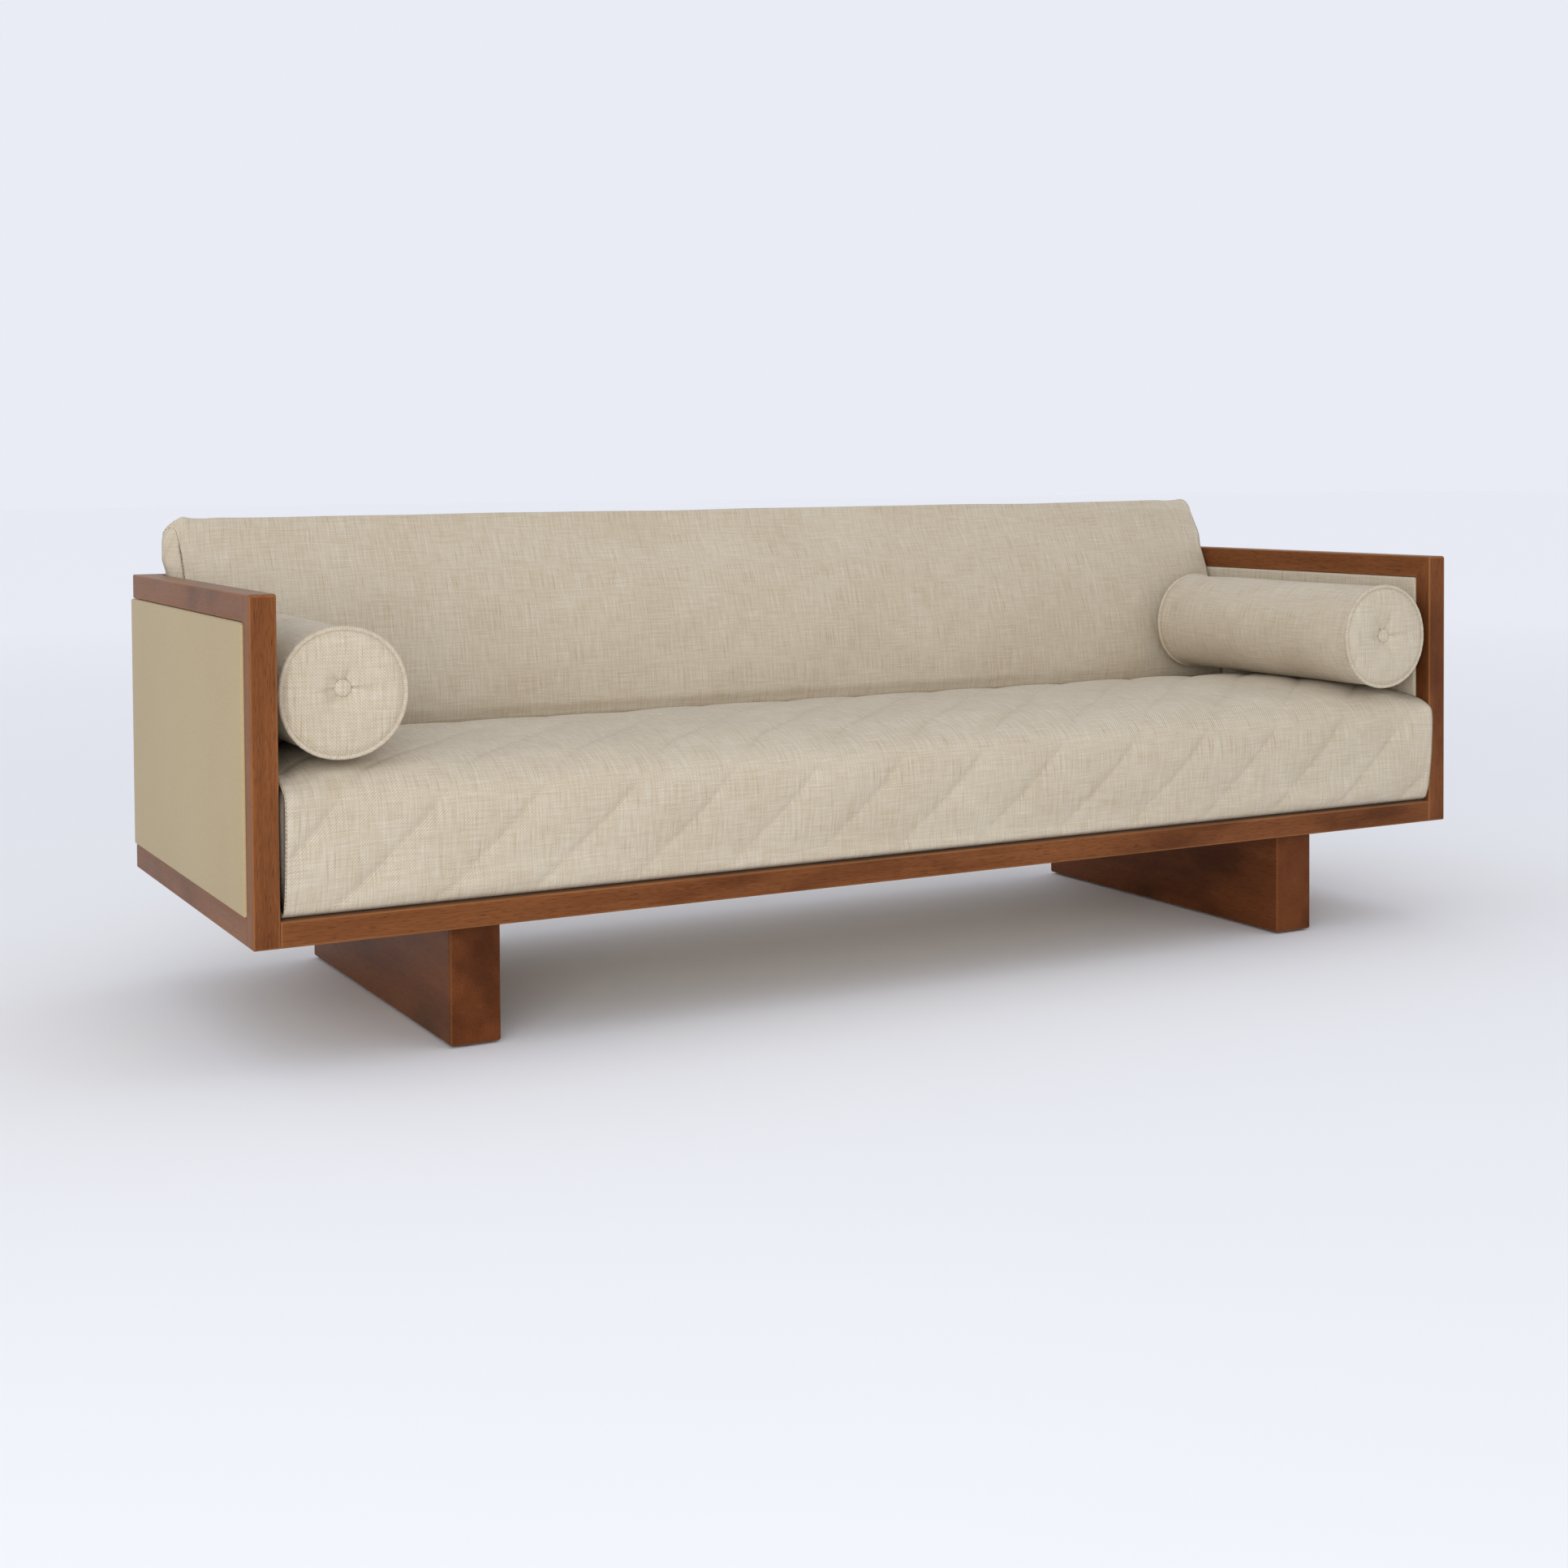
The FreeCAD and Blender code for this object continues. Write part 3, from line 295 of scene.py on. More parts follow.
@dataclass(frozen=True)
class Linen:
    """A slubby two-and-two twill in undyed linen, on metres of cloth.

    A thread is on top where the sum of its two thread counts, modulo four, is under
    two, which makes the twill's diagonal ribs. Where the warp lies under, and in the
    hollows between the threads' crowns, the colour is darkened towards dark: painted
    shade of the weave.
    """

    pale: Colour = (0.795, 0.737, 0.617)
    plain: Colour = (0.560, 0.464, 0.322)
    # dark is the slubs' own colour, and also the colour of the painted shade in the weave.
    dark: Colour = (0.26, 0.175, 0.09)
    pitch: float = 0.0012
    relief: float = 0.00035
    sheen: float = 0.1
    thread_step: float = 0.61
    thread_drift: float = 16.0
    slub_across: float = 330.0
    warp_slub: float = 22.0
    weft_slub: float = 26.0
    slub_depth: float = 0.36
    rib_shade: float = 0.24
    gap_shade: float = 0.42

    def make(self, name: str, face: Axis | None = None) -> bpy.types.Material:
        """Make the cloth.

        Args:
            name: the material's name.
            face: for a flat panel, the axis that its face looks along; a piece with
                its own cloth map has none.

        Returns:
            The material.
        """
        graph = Graph(name)
        across, along = self.cloth(graph, face)
        warp = graph.math("FLOOR", graph.math("DIVIDE", across, self.pitch))
        weft = graph.math("FLOOR", graph.math("DIVIDE", along, self.pitch))
        turn = graph.math("FLOORED_MODULO", graph.math("ADD", warp, weft), 4.0)
        warp_on_top = graph.math("LESS_THAN", turn, 2.0)
        warp_round = self.roundness(graph, across)
        weft_round = self.roundness(graph, along)
        over = graph.node("ShaderNodeMix", data_type="FLOAT")
        graph.put(warp_on_top, over.inputs[0])
        graph.put(weft_round, over.inputs[2])
        graph.put(warp_round, over.inputs[3])
        height = over.outputs[0]
        warp_tone = graph.streaks(warp, along, (self.thread_step, self.thread_drift))
        weft_tone = graph.streaks(across, weft, (self.thread_drift, self.thread_step), 9.0)
        streak = graph.streaks(across, along, (self.slub_across, self.warp_slub), 3.0)
        cross_streak = graph.streaks(across, along, (self.weft_slub, self.slub_across), 5.0)
        cloud = graph.noise(graph.vector(across, along, 1.0), 7.0, 3.0)
        tone = graph.weighed(
            (warp_tone, 0.6), (weft_tone, 0.5), (streak, 0.44), (cross_streak, 0.30), (cloud, 0.25)
        )
        colour = graph.blend(graph.fit(tone, 0.80, 1.32), self.plain, self.pale)
        slub = graph.fit(graph.math("ADD", streak, graph.math("MULTIPLY", warp_tone, 0.5)), 0.58, 0.40)
        colour = graph.blend(graph.math("MULTIPLY", slub, self.slub_depth), colour, self.dark)
        # Painted shade: where the warp lies under, and in the hollows between thread crowns, the colour is
        # darkened towards dark.
        under = graph.math("SUBTRACT", 1.0, warp_on_top)
        hollow = graph.math("SUBTRACT", 1.0, height)
        shade = graph.weighed((under, self.rib_shade), (hollow, self.gap_shade))
        colour = graph.blend(shade, colour, self.dark)
        graph.surface(base_color=colour, roughness=0.92, sheen_weight=self.sheen, sheen_roughness=0.45)
        graph.shader.inputs["Specular IOR Level"].default_value = 0.2
        graph.bump(height, self.relief, 0.7)
        return graph.material

    def cloth(self, graph: Graph, face: Axis | None) -> tuple:
        """The two places on the cloth, in metres, from a map or from a flat face.

        Args:
            graph: the material's nodes.
            face: the axis a flat panel looks along, if it is one.

        Returns:
            The places across and along the warp.
        """
        source = graph.node("ShaderNodeTexCoord")
        if face is None:
            u, v, _ = graph.split(source.outputs["UV"])
            return u, v
        x, y, z = graph.split(source.outputs["Object"])
        return (x, z) if face is Axis.Y else (y, z)

    def roundness(self, graph: Graph, place: bpy.types.NodeSocket) -> bpy.types.NodeSocket:
        """The height of a round thread: one less the square of the way off its middle.

        Args:
            graph: the material's nodes.
            place: the place across the thread.

        Returns:
            The height, from 0 to 1.
        """
        part = graph.math("FRACT", graph.math("DIVIDE", place, self.pitch))
        off = graph.math("SUBTRACT", graph.math("MULTIPLY", part, 2.0), 1.0)
        return graph.math("SUBTRACT", 1.0, graph.math("MULTIPLY", off, off))


@dataclass(frozen=True)
class StainedTimber:
    """Close-grained hardwood under a mid-brown stain, paler along its edges: a painted edge highlight."""

    pale: Colour = (0.226, 0.080, 0.026)
    plain: Colour = (0.131, 0.040, 0.011)
    dark: Colour = (0.048, 0.012, 0.003)
    edge_highlight: Colour = (0.31, 0.125, 0.042)
    edge: float = 0.0035
    roughness: float = 0.42
    lacquer_index: float = 1.3
    figure_scale: tuple[float, float] = (34.0, 1.6)
    fibre_scale: tuple[float, float] = (420.0, 9.0)
    pore_scale: tuple[float, float] = (1100.0, 55.0)
    blotch_scale: tuple[float, float] = (9.0, 4.0)

    def make(self, name: str, low: Vector, high: Vector, grain: Axis) -> bpy.types.Material:
        """Make the timber for one piece.

        Args:
            name: the material's name.
            low: the piece's lowest corner.
            high: the piece's highest corner.
            grain: the way its grain runs.

        Returns:
            The material.
        """
        graph = Graph(name)
        place = graph.node("ShaderNodeTexCoord").outputs["Object"]
        shift = graph.node("ShaderNodeVectorMath", operation="ADD")
        graph.put(place, shift.inputs[0])
        shift.inputs[1].default_value = tuple(3.7 * c for c in low)
        moved = shift.outputs[0]
        figure = graph.noise(graph.scaled(moved, self.stretch(grain, *self.figure_scale)), 1.0, 4.0)
        fibre = graph.noise(graph.scaled(moved, self.stretch(grain, *self.fibre_scale)), 1.0, 3.0)
        pores = graph.noise(graph.scaled(moved, self.stretch(grain, *self.pore_scale)), 1.0, 2.0)
        blotch = graph.noise(graph.scaled(moved, self.stretch(grain, *self.blotch_scale)), 1.0, 3.0)
        tone = graph.weighed((figure, 0.55), (fibre, 0.45), (blotch, 0.5))
        colour = graph.blend(graph.fit(tone, 0.52, 0.96), self.plain, self.pale)
        colour = graph.blend(graph.fit(pores, 0.47, 0.32, 0.0, 0.6), colour, self.dark)
        colour = graph.blend(graph.fit(blotch, 0.46, 0.30, 0.0, 0.5), colour, self.dark)
        # Painted highlight: near each edge the colour turns paler, in patches along the fibre.
        highlight_patches = graph.fit(fibre, 0.3, 0.6, 0.35, 0.9)
        painted_highlight = graph.math("MULTIPLY", self.near_edge(graph, place, low, high), highlight_patches)
        colour = graph.blend(painted_highlight, colour, self.edge_highlight)
        rough = graph.fit(fibre, 0.3, 0.7, self.roughness - 0.05, self.roughness + 0.06)
        graph.surface(
            base_color=colour,
            roughness=rough,
            ior=self.lacquer_index,
            sheen_weight=0.10,
            sheen_roughness=0.35,
        )
        graph.shader.inputs["Specular IOR Level"].default_value = 0.2
        graph.shader.inputs["Sheen Tint"].default_value = (0.95, 0.86, 0.58, 1.0)
        graph.bump(graph.weighed((pores, 0.6), (fibre, 0.4)), 0.00018, 0.5)
        return graph.material

    def stretch(self, grain: Axis, across: float, along: float) -> tuple:
        """Noise scales for a pattern drawn out along the grain.

        Args:
            grain: the way the grain runs.
            across: bumps to the metre across it.
            along: bumps to the metre along it.

        Returns:
            Three scales.
        """
        return tuple(along if number == grain.value else across for number in range(3))

    def near_edge(self, graph: Graph, place: object, low: Vector, high: Vector) -> bpy.types.NodeSocket:
        """How near a point is to one of its block's edges.

        On each axis the gap to the nearer face is worked out. On the surface the
        smallest of the three gaps is nothing, so the middle one is the way to an edge.

        Args:
            graph: the material's nodes.
            place: the point.
            low: the block's lowest corner.
            high: the block's highest corner.

        Returns:
            1 at an edge, falling to 0.
        """
        gaps = []
        for part, start, end in zip(graph.split(place), low, high):
            to_low = graph.math("SUBTRACT", part, start)
            to_high = graph.math("SUBTRACT", end, part)
            gaps.append(graph.math("MINIMUM", to_low, to_high))
        first, second, third = gaps
        pair_low = graph.math("MINIMUM", first, second)
        pair_high = graph.math("MAXIMUM", first, second)
        middle = graph.math("MAXIMUM", pair_low, graph.math("MINIMUM", pair_high, third))
        return graph.fit(middle, self.edge, 0.0)


@dataclass(frozen=True)
class PaleTimber:
    """Planed softwood or plywood, unfinished."""

    pale: Colour = (0.66, 0.50, 0.31)
    dark: Colour = (0.50, 0.34, 0.18)
    roughness: float = 0.7

    def make(self, name: str, grain: Axis) -> bpy.types.Material:
        """Make the timber.

        Args:
            name: the material's name.
            grain: the way its grain runs.

        Returns:
            The material.
        """
        graph = Graph(name)
        place = graph.node("ShaderNodeTexCoord").outputs["Object"]
        drawn = tuple(2.0 if number == grain.value else 60.0 for number in range(3))
        figure = graph.noise(graph.scaled(place, drawn), 1.0, 5.0)
        fibre = graph.noise(graph.scaled(place, tuple(9.0 * part for part in drawn)), 1.0, 2.0)
        tone = graph.fit(graph.weighed((figure, 0.7), (fibre, 0.3)), 0.35, 0.65)
        graph.surface(base_color=graph.blend(tone, self.dark, self.pale), roughness=self.roughness)
        graph.bump(fibre, 0.0002, 0.5)
        return graph.material


@dataclass(frozen=True)
class Leatherette:
    """Smooth khaki leatherette with a faint pressed grain."""

    pale: Colour = (0.450, 0.352, 0.190)
    dark: Colour = (0.400, 0.300, 0.150)
    roughness: float = 0.5
    crease_in: float = 0.030

    def make(self, name: str, low: Vector, high: Vector) -> bpy.types.Material:
        """Make the skin of one panel.

        Args:
            name: the material's name.
            low: the panel's lowest corner.
            high: the panel's highest corner.

        Returns:
            The material.
        """
        graph = Graph(name)
        place = graph.node("ShaderNodeTexCoord").outputs["Object"]
        cells = graph.node("ShaderNodeTexVoronoi", feature="DISTANCE_TO_EDGE")
        graph.put(place, cells.inputs["Vector"])
        cells.inputs["Scale"].default_value = 900.0
        grain = graph.fit(cells.outputs["Distance"], 0.0, 0.25)
        cloud = graph.noise(place, 5.0, 3.0)
        mottle = graph.noise(place, 260.0, 2.0)
        tone = graph.weighed((cloud, 0.35), (mottle, 0.65))
        colour = graph.blend(graph.fit(tone, 0.30, 0.70), self.dark, self.pale)
        height = graph.split(place)[2]
        crease = graph.math("ADD", self.line(graph, height, low[2] + self.crease_in),
                            self.line(graph, height, high[2] - self.crease_in))
        relief = graph.weighed((grain, 0.3), (crease, 1.4))
        graph.surface(base_color=colour, roughness=self.roughness)
        graph.shader.inputs["Specular IOR Level"].default_value = 0.4
        graph.bump(relief, 0.00012, 0.6)
        return graph.material

    def line(self, graph: Graph, place: bpy.types.NodeSocket, at: float) -> bpy.types.NodeSocket:
        """A soft raised line where the skin passes over its backing.

        Args:
            graph: the material's nodes.
            place: the height of the point.
            at: the line's height.

        Returns:
            1 on the line, falling to 0 within two millimetres.
        """
        return graph.fit(graph.math("ABSOLUTE", graph.math("SUBTRACT", place, at)), 0.002, 0.0)


@dataclass(frozen=True)
class PlainStuff:
    """A hidden material with a fine grain of its own: metal, felt, tape or filling."""

    pale: Colour
    dark: Colour
    roughness: float
    metallic: float = 0.0
    grain: float = 600.0
    relief: float = 0.0001

    def make(self, name: str) -> bpy.types.Material:
        """Make the material.

        Args:
            name: the material's name.

        Returns:
            The material.
        """
        graph = Graph(name)
        place = graph.node("ShaderNodeTexCoord").outputs["Object"]
        fine = graph.noise(place, self.grain, 3.0)
        broad = graph.noise(place, self.grain / 12.0, 2.0)
        tone = graph.weighed((fine, 0.6), (broad, 0.4))
        graph.surface(
            base_color=graph.blend(graph.fit(tone, 0.35, 0.65), self.dark, self.pale),
            roughness=graph.fit(fine, 0.3, 0.7, self.roughness - 0.06, self.roughness + 0.06),
            metallic=self.metallic,
        )
        graph.bump(fine, self.relief, 0.5)
        return graph.material


# ----------------------------------------------------------------- mesh making


def new_piece(name: str, points: Array, faces: Array, cloth: Array | None = None) -> bpy.types.Object:
    """Put a mesh of quads, or of quads and triangles, into the scene.

    Args:
        name: the piece's name.
        points: the vertices, n by 3.
        faces: the faces, m by 4; a triangle repeats its last corner.
        cloth: for each face corner its place on the cloth, m by 4 by 2.

    Returns:
        The object.
    """
    triangle = faces[:, 2] == faces[:, 3]
    counts = np.where(triangle, 3, 4)
    keep = np.ones(faces.shape, bool)
    keep[triangle, 3] = False
    corners = faces[keep]
    mesh = bpy.data.meshes.new(name)
    mesh.vertices.add(len(points))
    mesh.vertices.foreach_set("co", points.astype(np.float32).ravel())
    mesh.loops.add(len(corners))
    mesh.loops.foreach_set("vertex_index", corners.astype(np.int32))
    mesh.polygons.add(len(faces))
    starts = np.concatenate(([0], np.cumsum(counts)[:-1]))
    mesh.polygons.foreach_set("loop_start", starts.astype(np.int32))
    mesh.polygons.foreach_set("use_smooth", np.ones(len(faces), bool))
    mesh.update(calc_edges=True)
    if cloth is not None:
        layer = mesh.uv_layers.new(name="cloth")
        layer.data.foreach_set("uv", cloth[keep].astype(np.float32).ravel())
    mesh.validate()
    piece = bpy.data.objects.new(name, mesh)
    bpy.context.scene.collection.objects.link(piece)
    return piece


def closed_curve(points: list[tuple[float, float]], count: int) -> Array:
    """A smooth closed curve through a few points, evenly spaced along its length.

    Between two points it is the cubic that leaves each one parallel to the line
    between its neighbours, as Catmull and Rom drew it, with the knots set apart by the
    square root of the points' spacing. It is then read at equal lengths.

    Args:
        points: the points, in order.
        count: how many points to return.

    Returns:
        The curve, count by 2.
    """
    ring = np.array(points, float)
    before, start, end, after = (np.roll(ring, shift, axis=0) for shift in (1, 0, -1, -2))
    gap_before, gap, gap_after = (
        np.sqrt(np.linalg.norm(b - a, axis=1))[:, None, None]
        for a, b in ((before, start), (start, end), (end, after))
    )
    t = np.linspace(0, 1, 60, endpoint=False)[None, :, None]
    p0, p1, p2, p3 = (part[:, None, :] for part in (before, start, end, after))
    lead = (p1 - p0) / gap_before - (p2 - p0) / (gap_before + gap) + (p2 - p1) / gap
    trail = (p2 - p1) / gap - (p3 - p1) / (gap + gap_after) + (p3 - p2) / gap_after
    lead, trail = lead * gap, trail * gap
    fine = (
        (2 * t**3 - 3 * t**2 + 1) * p1
        + (t**3 - 2 * t**2 + t) * lead
        + (-2 * t**3 + 3 * t**2) * p2
        + (t**3 - t**2) * trail
    ).reshape(-1, 2)
    return evenly(fine, count)


def evenly(fine: Array, count: int) -> Array:
    """A closed line read at equal lengths.

    Args:
        fine: the line's points.
        count: how many points to return.

    Returns:
        The points, count by 2.
    """
    loop = np.vstack([fine, fine[:1]])
    reach = np.concatenate(([0], np.cumsum(np.linalg.norm(np.diff(loop, axis=0), axis=1))))
    at = np.linspace(0, reach[-1], count, endpoint=False)
    return np.column_stack([np.interp(at, reach, loop[:, part]) for part in range(2)])


def sleeve_faces(rows: int, around: int) -> Array:
    """Quads that join each row of a sleeve to the next.

    Args:
        rows: how many rows.
        around: points in a row.

    Returns:
        The faces.
    """
    row, step = np.meshgrid(np.arange(rows - 1), np.arange(around), indexing="ij")
    onward = (step + 1) % around
    here, above = row * around, (row + 1) * around
    return np.stack([here + step, here + onward, above + onward, above + step], -1).reshape(-1, 4)


def bell(distance: Array, width: float) -> Array:
    """A soft bump: one at nothing, falling as the bell curve of that width."""
    return np.exp(-((distance / width) ** 2))


def ease(value: Array, low: float, high: float) -> Array:
    """A smooth step from 0 at low to 1 at high."""
    t = np.clip((value - low) / (high - low), 0, 1)
    return t * t * (3 - 2 * t)


def ripple(u: Array, v: Array, wave: float, seed: int) -> Array:
    """Gentle unevenness: the mean of eight sine waves in seeded directions.

    Args:
        u: first place, in metres.
        v: second place, in metres.
        wave: the waves' usual length, in metres.
        seed: which set of waves.

    Returns:
        A value near -1 to 1.
    """
    dice = np.random.default_rng(SEED + seed)
    total = np.zeros(np.broadcast(u, v).shape)
    angles = dice.uniform(0, np.pi, 8)
    stretches = dice.uniform(0.6, 1.6, 8)
    phases = dice.uniform(0, 6.3, 8)
    for angle, stretch, phase in zip(angles, stretches, phases):
        total += np.sin((u * np.cos(angle) + v * np.sin(angle)) * 2 * np.pi / (wave * stretch) + phase)
    return total / 4.0


def stitches(
    name: str, spots: Array, ways: Array, outs: Array, length: float, radius: float
) -> bpy.types.Object:
    """A row of stitches, each a short thread with rounded ends that sinks in at both.

    Along a thread the radius is the square root of one less the square of the way from
    its middle, and its middle line falls by that square.

    Args:
        name: the piece's name.
        spots: where the stitches lie, n by 3.
        ways: the way each runs, n by 3.
        outs: the surface's outward direction at each, n by 3.
        length: a stitch's length.
        radius: its thread's radius.

    Returns:
        The piece.
    """
    t = np.array([-0.98, -0.6, 0.0, 0.6, 0.98])
    turn = np.linspace(0, 2 * np.pi, 5, endpoint=False)
    ways = ways / np.linalg.norm(ways, axis=1, keepdims=True)
    sides = np.cross(outs, ways)
    sides /= np.linalg.norm(sides, axis=1, keepdims=True)
    thick = radius * np.sqrt(1 - 0.96 * t**2)
    along = (t * length / 2)[None, :, None, None] * ways[:, None, None, :]
    sink = (-radius * 1.2 * t**2)[None, :, None, None] * outs[:, None, None, :]
    section = (
        (thick[:, None] * np.cos(turn))[None, :, :, None] * outs[:, None, None, :]
        + (thick[:, None] * np.sin(turn))[None, :, :, None] * sides[:, None, None, :]
    )
    points = (spots[:, None, None, :] + along + sink + section).reshape(len(spots), -1, 3)
    body = sleeve_faces(len(t), len(turn))
    first = np.array([[4, 3, 2, 2], [4, 2, 1, 1], [4, 1, 0, 0]])
    last = first[:, [0, 2, 1, 1]] + (len(t) - 1) * len(turn)
    one = np.vstack([body, first, last])
    faces = (np.arange(len(spots))[:, None, None] * points.shape[1] + one[None]).reshape(-1, 4)
    made = new_piece(name, points.reshape(-1, 3), faces)
    flip_if_inside_out(made)
    return made


def read_grid(grid: Array, row: Array, step: Array) -> Array:
    """A grid's values at fractional rows and steps, each the mean of its four neighbours.

    Args:
        grid: the values, rows by points round by parts.
        row: where among the rows.
        step: where among the points round.

    Returns:
        The values, n by parts.
    """
    rows, around, _ = grid.shape
    low = np.clip(np.floor(row).astype(int), 0, rows - 2)
    part = (row - low)[:, None]
    left = np.floor(step).astype(int)
    share = (step - left)[:, None]
    first = grid[low, left % around] * (1 - share) + grid[low, (left + 1) % around] * share
    second = grid[low + 1, left % around] * (1 - share) + grid[low + 1, (left + 1) % around] * share
    return first * (1 - part) + second * part


@dataclass
class Puffer:
    """Blows a cushion up as sewn cloth over its filling, by cloth simulation."""

    pressure: float = 4.0
    frames: int = 20
    cap: float = 0.008
    stiffness: float = 15.0
    bending: float = 0.5
    mass: float = 0.4
    quality: int = 5

    def displaced(self, name: str, points: Array, faces: Array, pinned: Array) -> Array:
        """The way each point moves when the cover is blown up.

        Args:
            name: a name for the trial mesh.
            points: the cover's points.
            faces: its faces.
            pinned: 1 where a seam or a rest holds the cover, 0 where it is free.

        Returns:
            The moves, none longer than the cap.
        """
        trial = new_piece(f"{name}_trial", points, faces)
        group = trial.vertex_groups.new(name="held")
        for index in np.flatnonzero(pinned > 0.01):
            group.add([int(index)], float(pinned[index]), "REPLACE")
        cloth = trial.modifiers.new("cloth", "CLOTH")
        settings = cloth.settings
        settings.quality = self.quality
        settings.mass = self.mass
        settings.tension_stiffness = self.stiffness
        settings.compression_stiffness = self.stiffness
        settings.shear_stiffness = self.stiffness / 3
        settings.bending_stiffness = self.bending
        settings.use_pressure = True
        settings.uniform_pressure_force = self.pressure
        settings.vertex_group_mass = "held"
        settings.effector_weights.gravity = 0.0
        cloth.point_cache.frame_start = 1
        cloth.point_cache.frame_end = self.frames
        scene = bpy.context.scene
        for number in range(1, self.frames + 1):
            scene.frame_set(number)
        ready = trial.evaluated_get(bpy.context.evaluated_depsgraph_get())
        blown = np.empty(len(points) * 3, np.float32)
        ready.data.vertices.foreach_get("co", blown)
        scene.frame_set(1)
        bpy.data.objects.remove(trial)
        moves = blown.reshape(-1, 3).astype(float) - points
        length = np.linalg.norm(moves, axis=1, keepdims=True)
        return moves * np.minimum(1.0, self.cap / np.maximum(length, 1e-9))


def resampled(grid: Array, rows: Array, around: int) -> Array:
    """A grid of values read on a finer grid, round the sleeve and along it.

    Args:
        grid: the values, rows by points round by parts.
        rows: where each new row lies among the old ones.
        around: how many points the new rows have.

    Returns:
        The finer grid.
    """
    old_rows, old_around, _ = grid.shape
    low = np.clip(np.floor(rows).astype(int), 0, old_rows - 2)
    part = (rows - low)[:, None, None]
    mixed = grid[low] * (1 - part) + grid[low + 1] * part
    at = np.arange(around) * old_around / around
    start = np.floor(at).astype(int)
    share = (at - start)[None, :, None]
    return mixed[:, start % old_around] * (1 - share) + mixed[:, (start + 1) % old_around] * share


def grid_normals(grid: Array) -> Array:
    """Outward normals of a sleeve's grid: the cross of its two directions.

    Args:
        grid: the points, rows by points round by 3.

    Returns:
        Unit normals of the same shape.
    """
    along = np.gradient(grid, axis=0)
    round_it = np.roll(grid, -1, axis=1) - np.roll(grid, 1, axis=1)
    normal = np.cross(round_it, along)
    return normal / np.maximum(np.linalg.norm(normal, axis=2, keepdims=True), 1e-12)


def sewn_sleeve(
    name: str, grid: Array, place: Array, reach: Array, panel_rows: int, panel: tuple[int, int]
) -> bpy.types.Object:
    """A closed cover: a sleeve whose first and last rows draw in to a panel at each end.

    Args:
        name: the piece's name.
        grid: the points, rows by points round by 3.
        place: each row's place on the cloth along the sleeve.
        reach: each point's place on the cloth round the sleeve, and the full way round.
        panel_rows: how many rows at each end belong to the panel.
        panel: the two axes that an end panel's cloth follows.

    Returns:
        The piece.
    """
    rows, around, _ = grid.shape
    quads = sleeve_faces(rows, around)
    row, step = quads[:, 0] // around, quads[:, 0] % around
    u0, u1, v0, v1 = place[row], place[row + 1], reach[step], reach[step + 1]
    cloth = np.stack([np.stack(pair, -1) for pair in ((u0, v0), (u0, v1), (u1, v1), (u1, v0))], 1)
    ends = np.stack([grid[0].mean(axis=0), grid[-1].mean(axis=0)])
    points = np.vstack([grid.reshape(-1, 3), ends])
    flat = points[:, list(panel)]
    in_panel = (row < panel_rows) | (row >= rows - 1 - panel_rows)
    cloth[in_panel] = flat[quads[in_panel]]
    ring = np.arange(around)
    onward = (ring + 1) % around
    last = (rows - 1) * around
    first_pole = np.full(around, rows * around)
    start_fan = np.stack([first_pole, onward, ring, ring], -1)
    end_fan = np.stack([first_pole + 1, last + ring, last + onward, last + onward], -1)
    faces = np.vstack([quads, start_fan, end_fan])
    cloth = np.vstack([cloth, flat[start_fan], flat[end_fan]])
    return new_piece(name, points, faces, cloth)


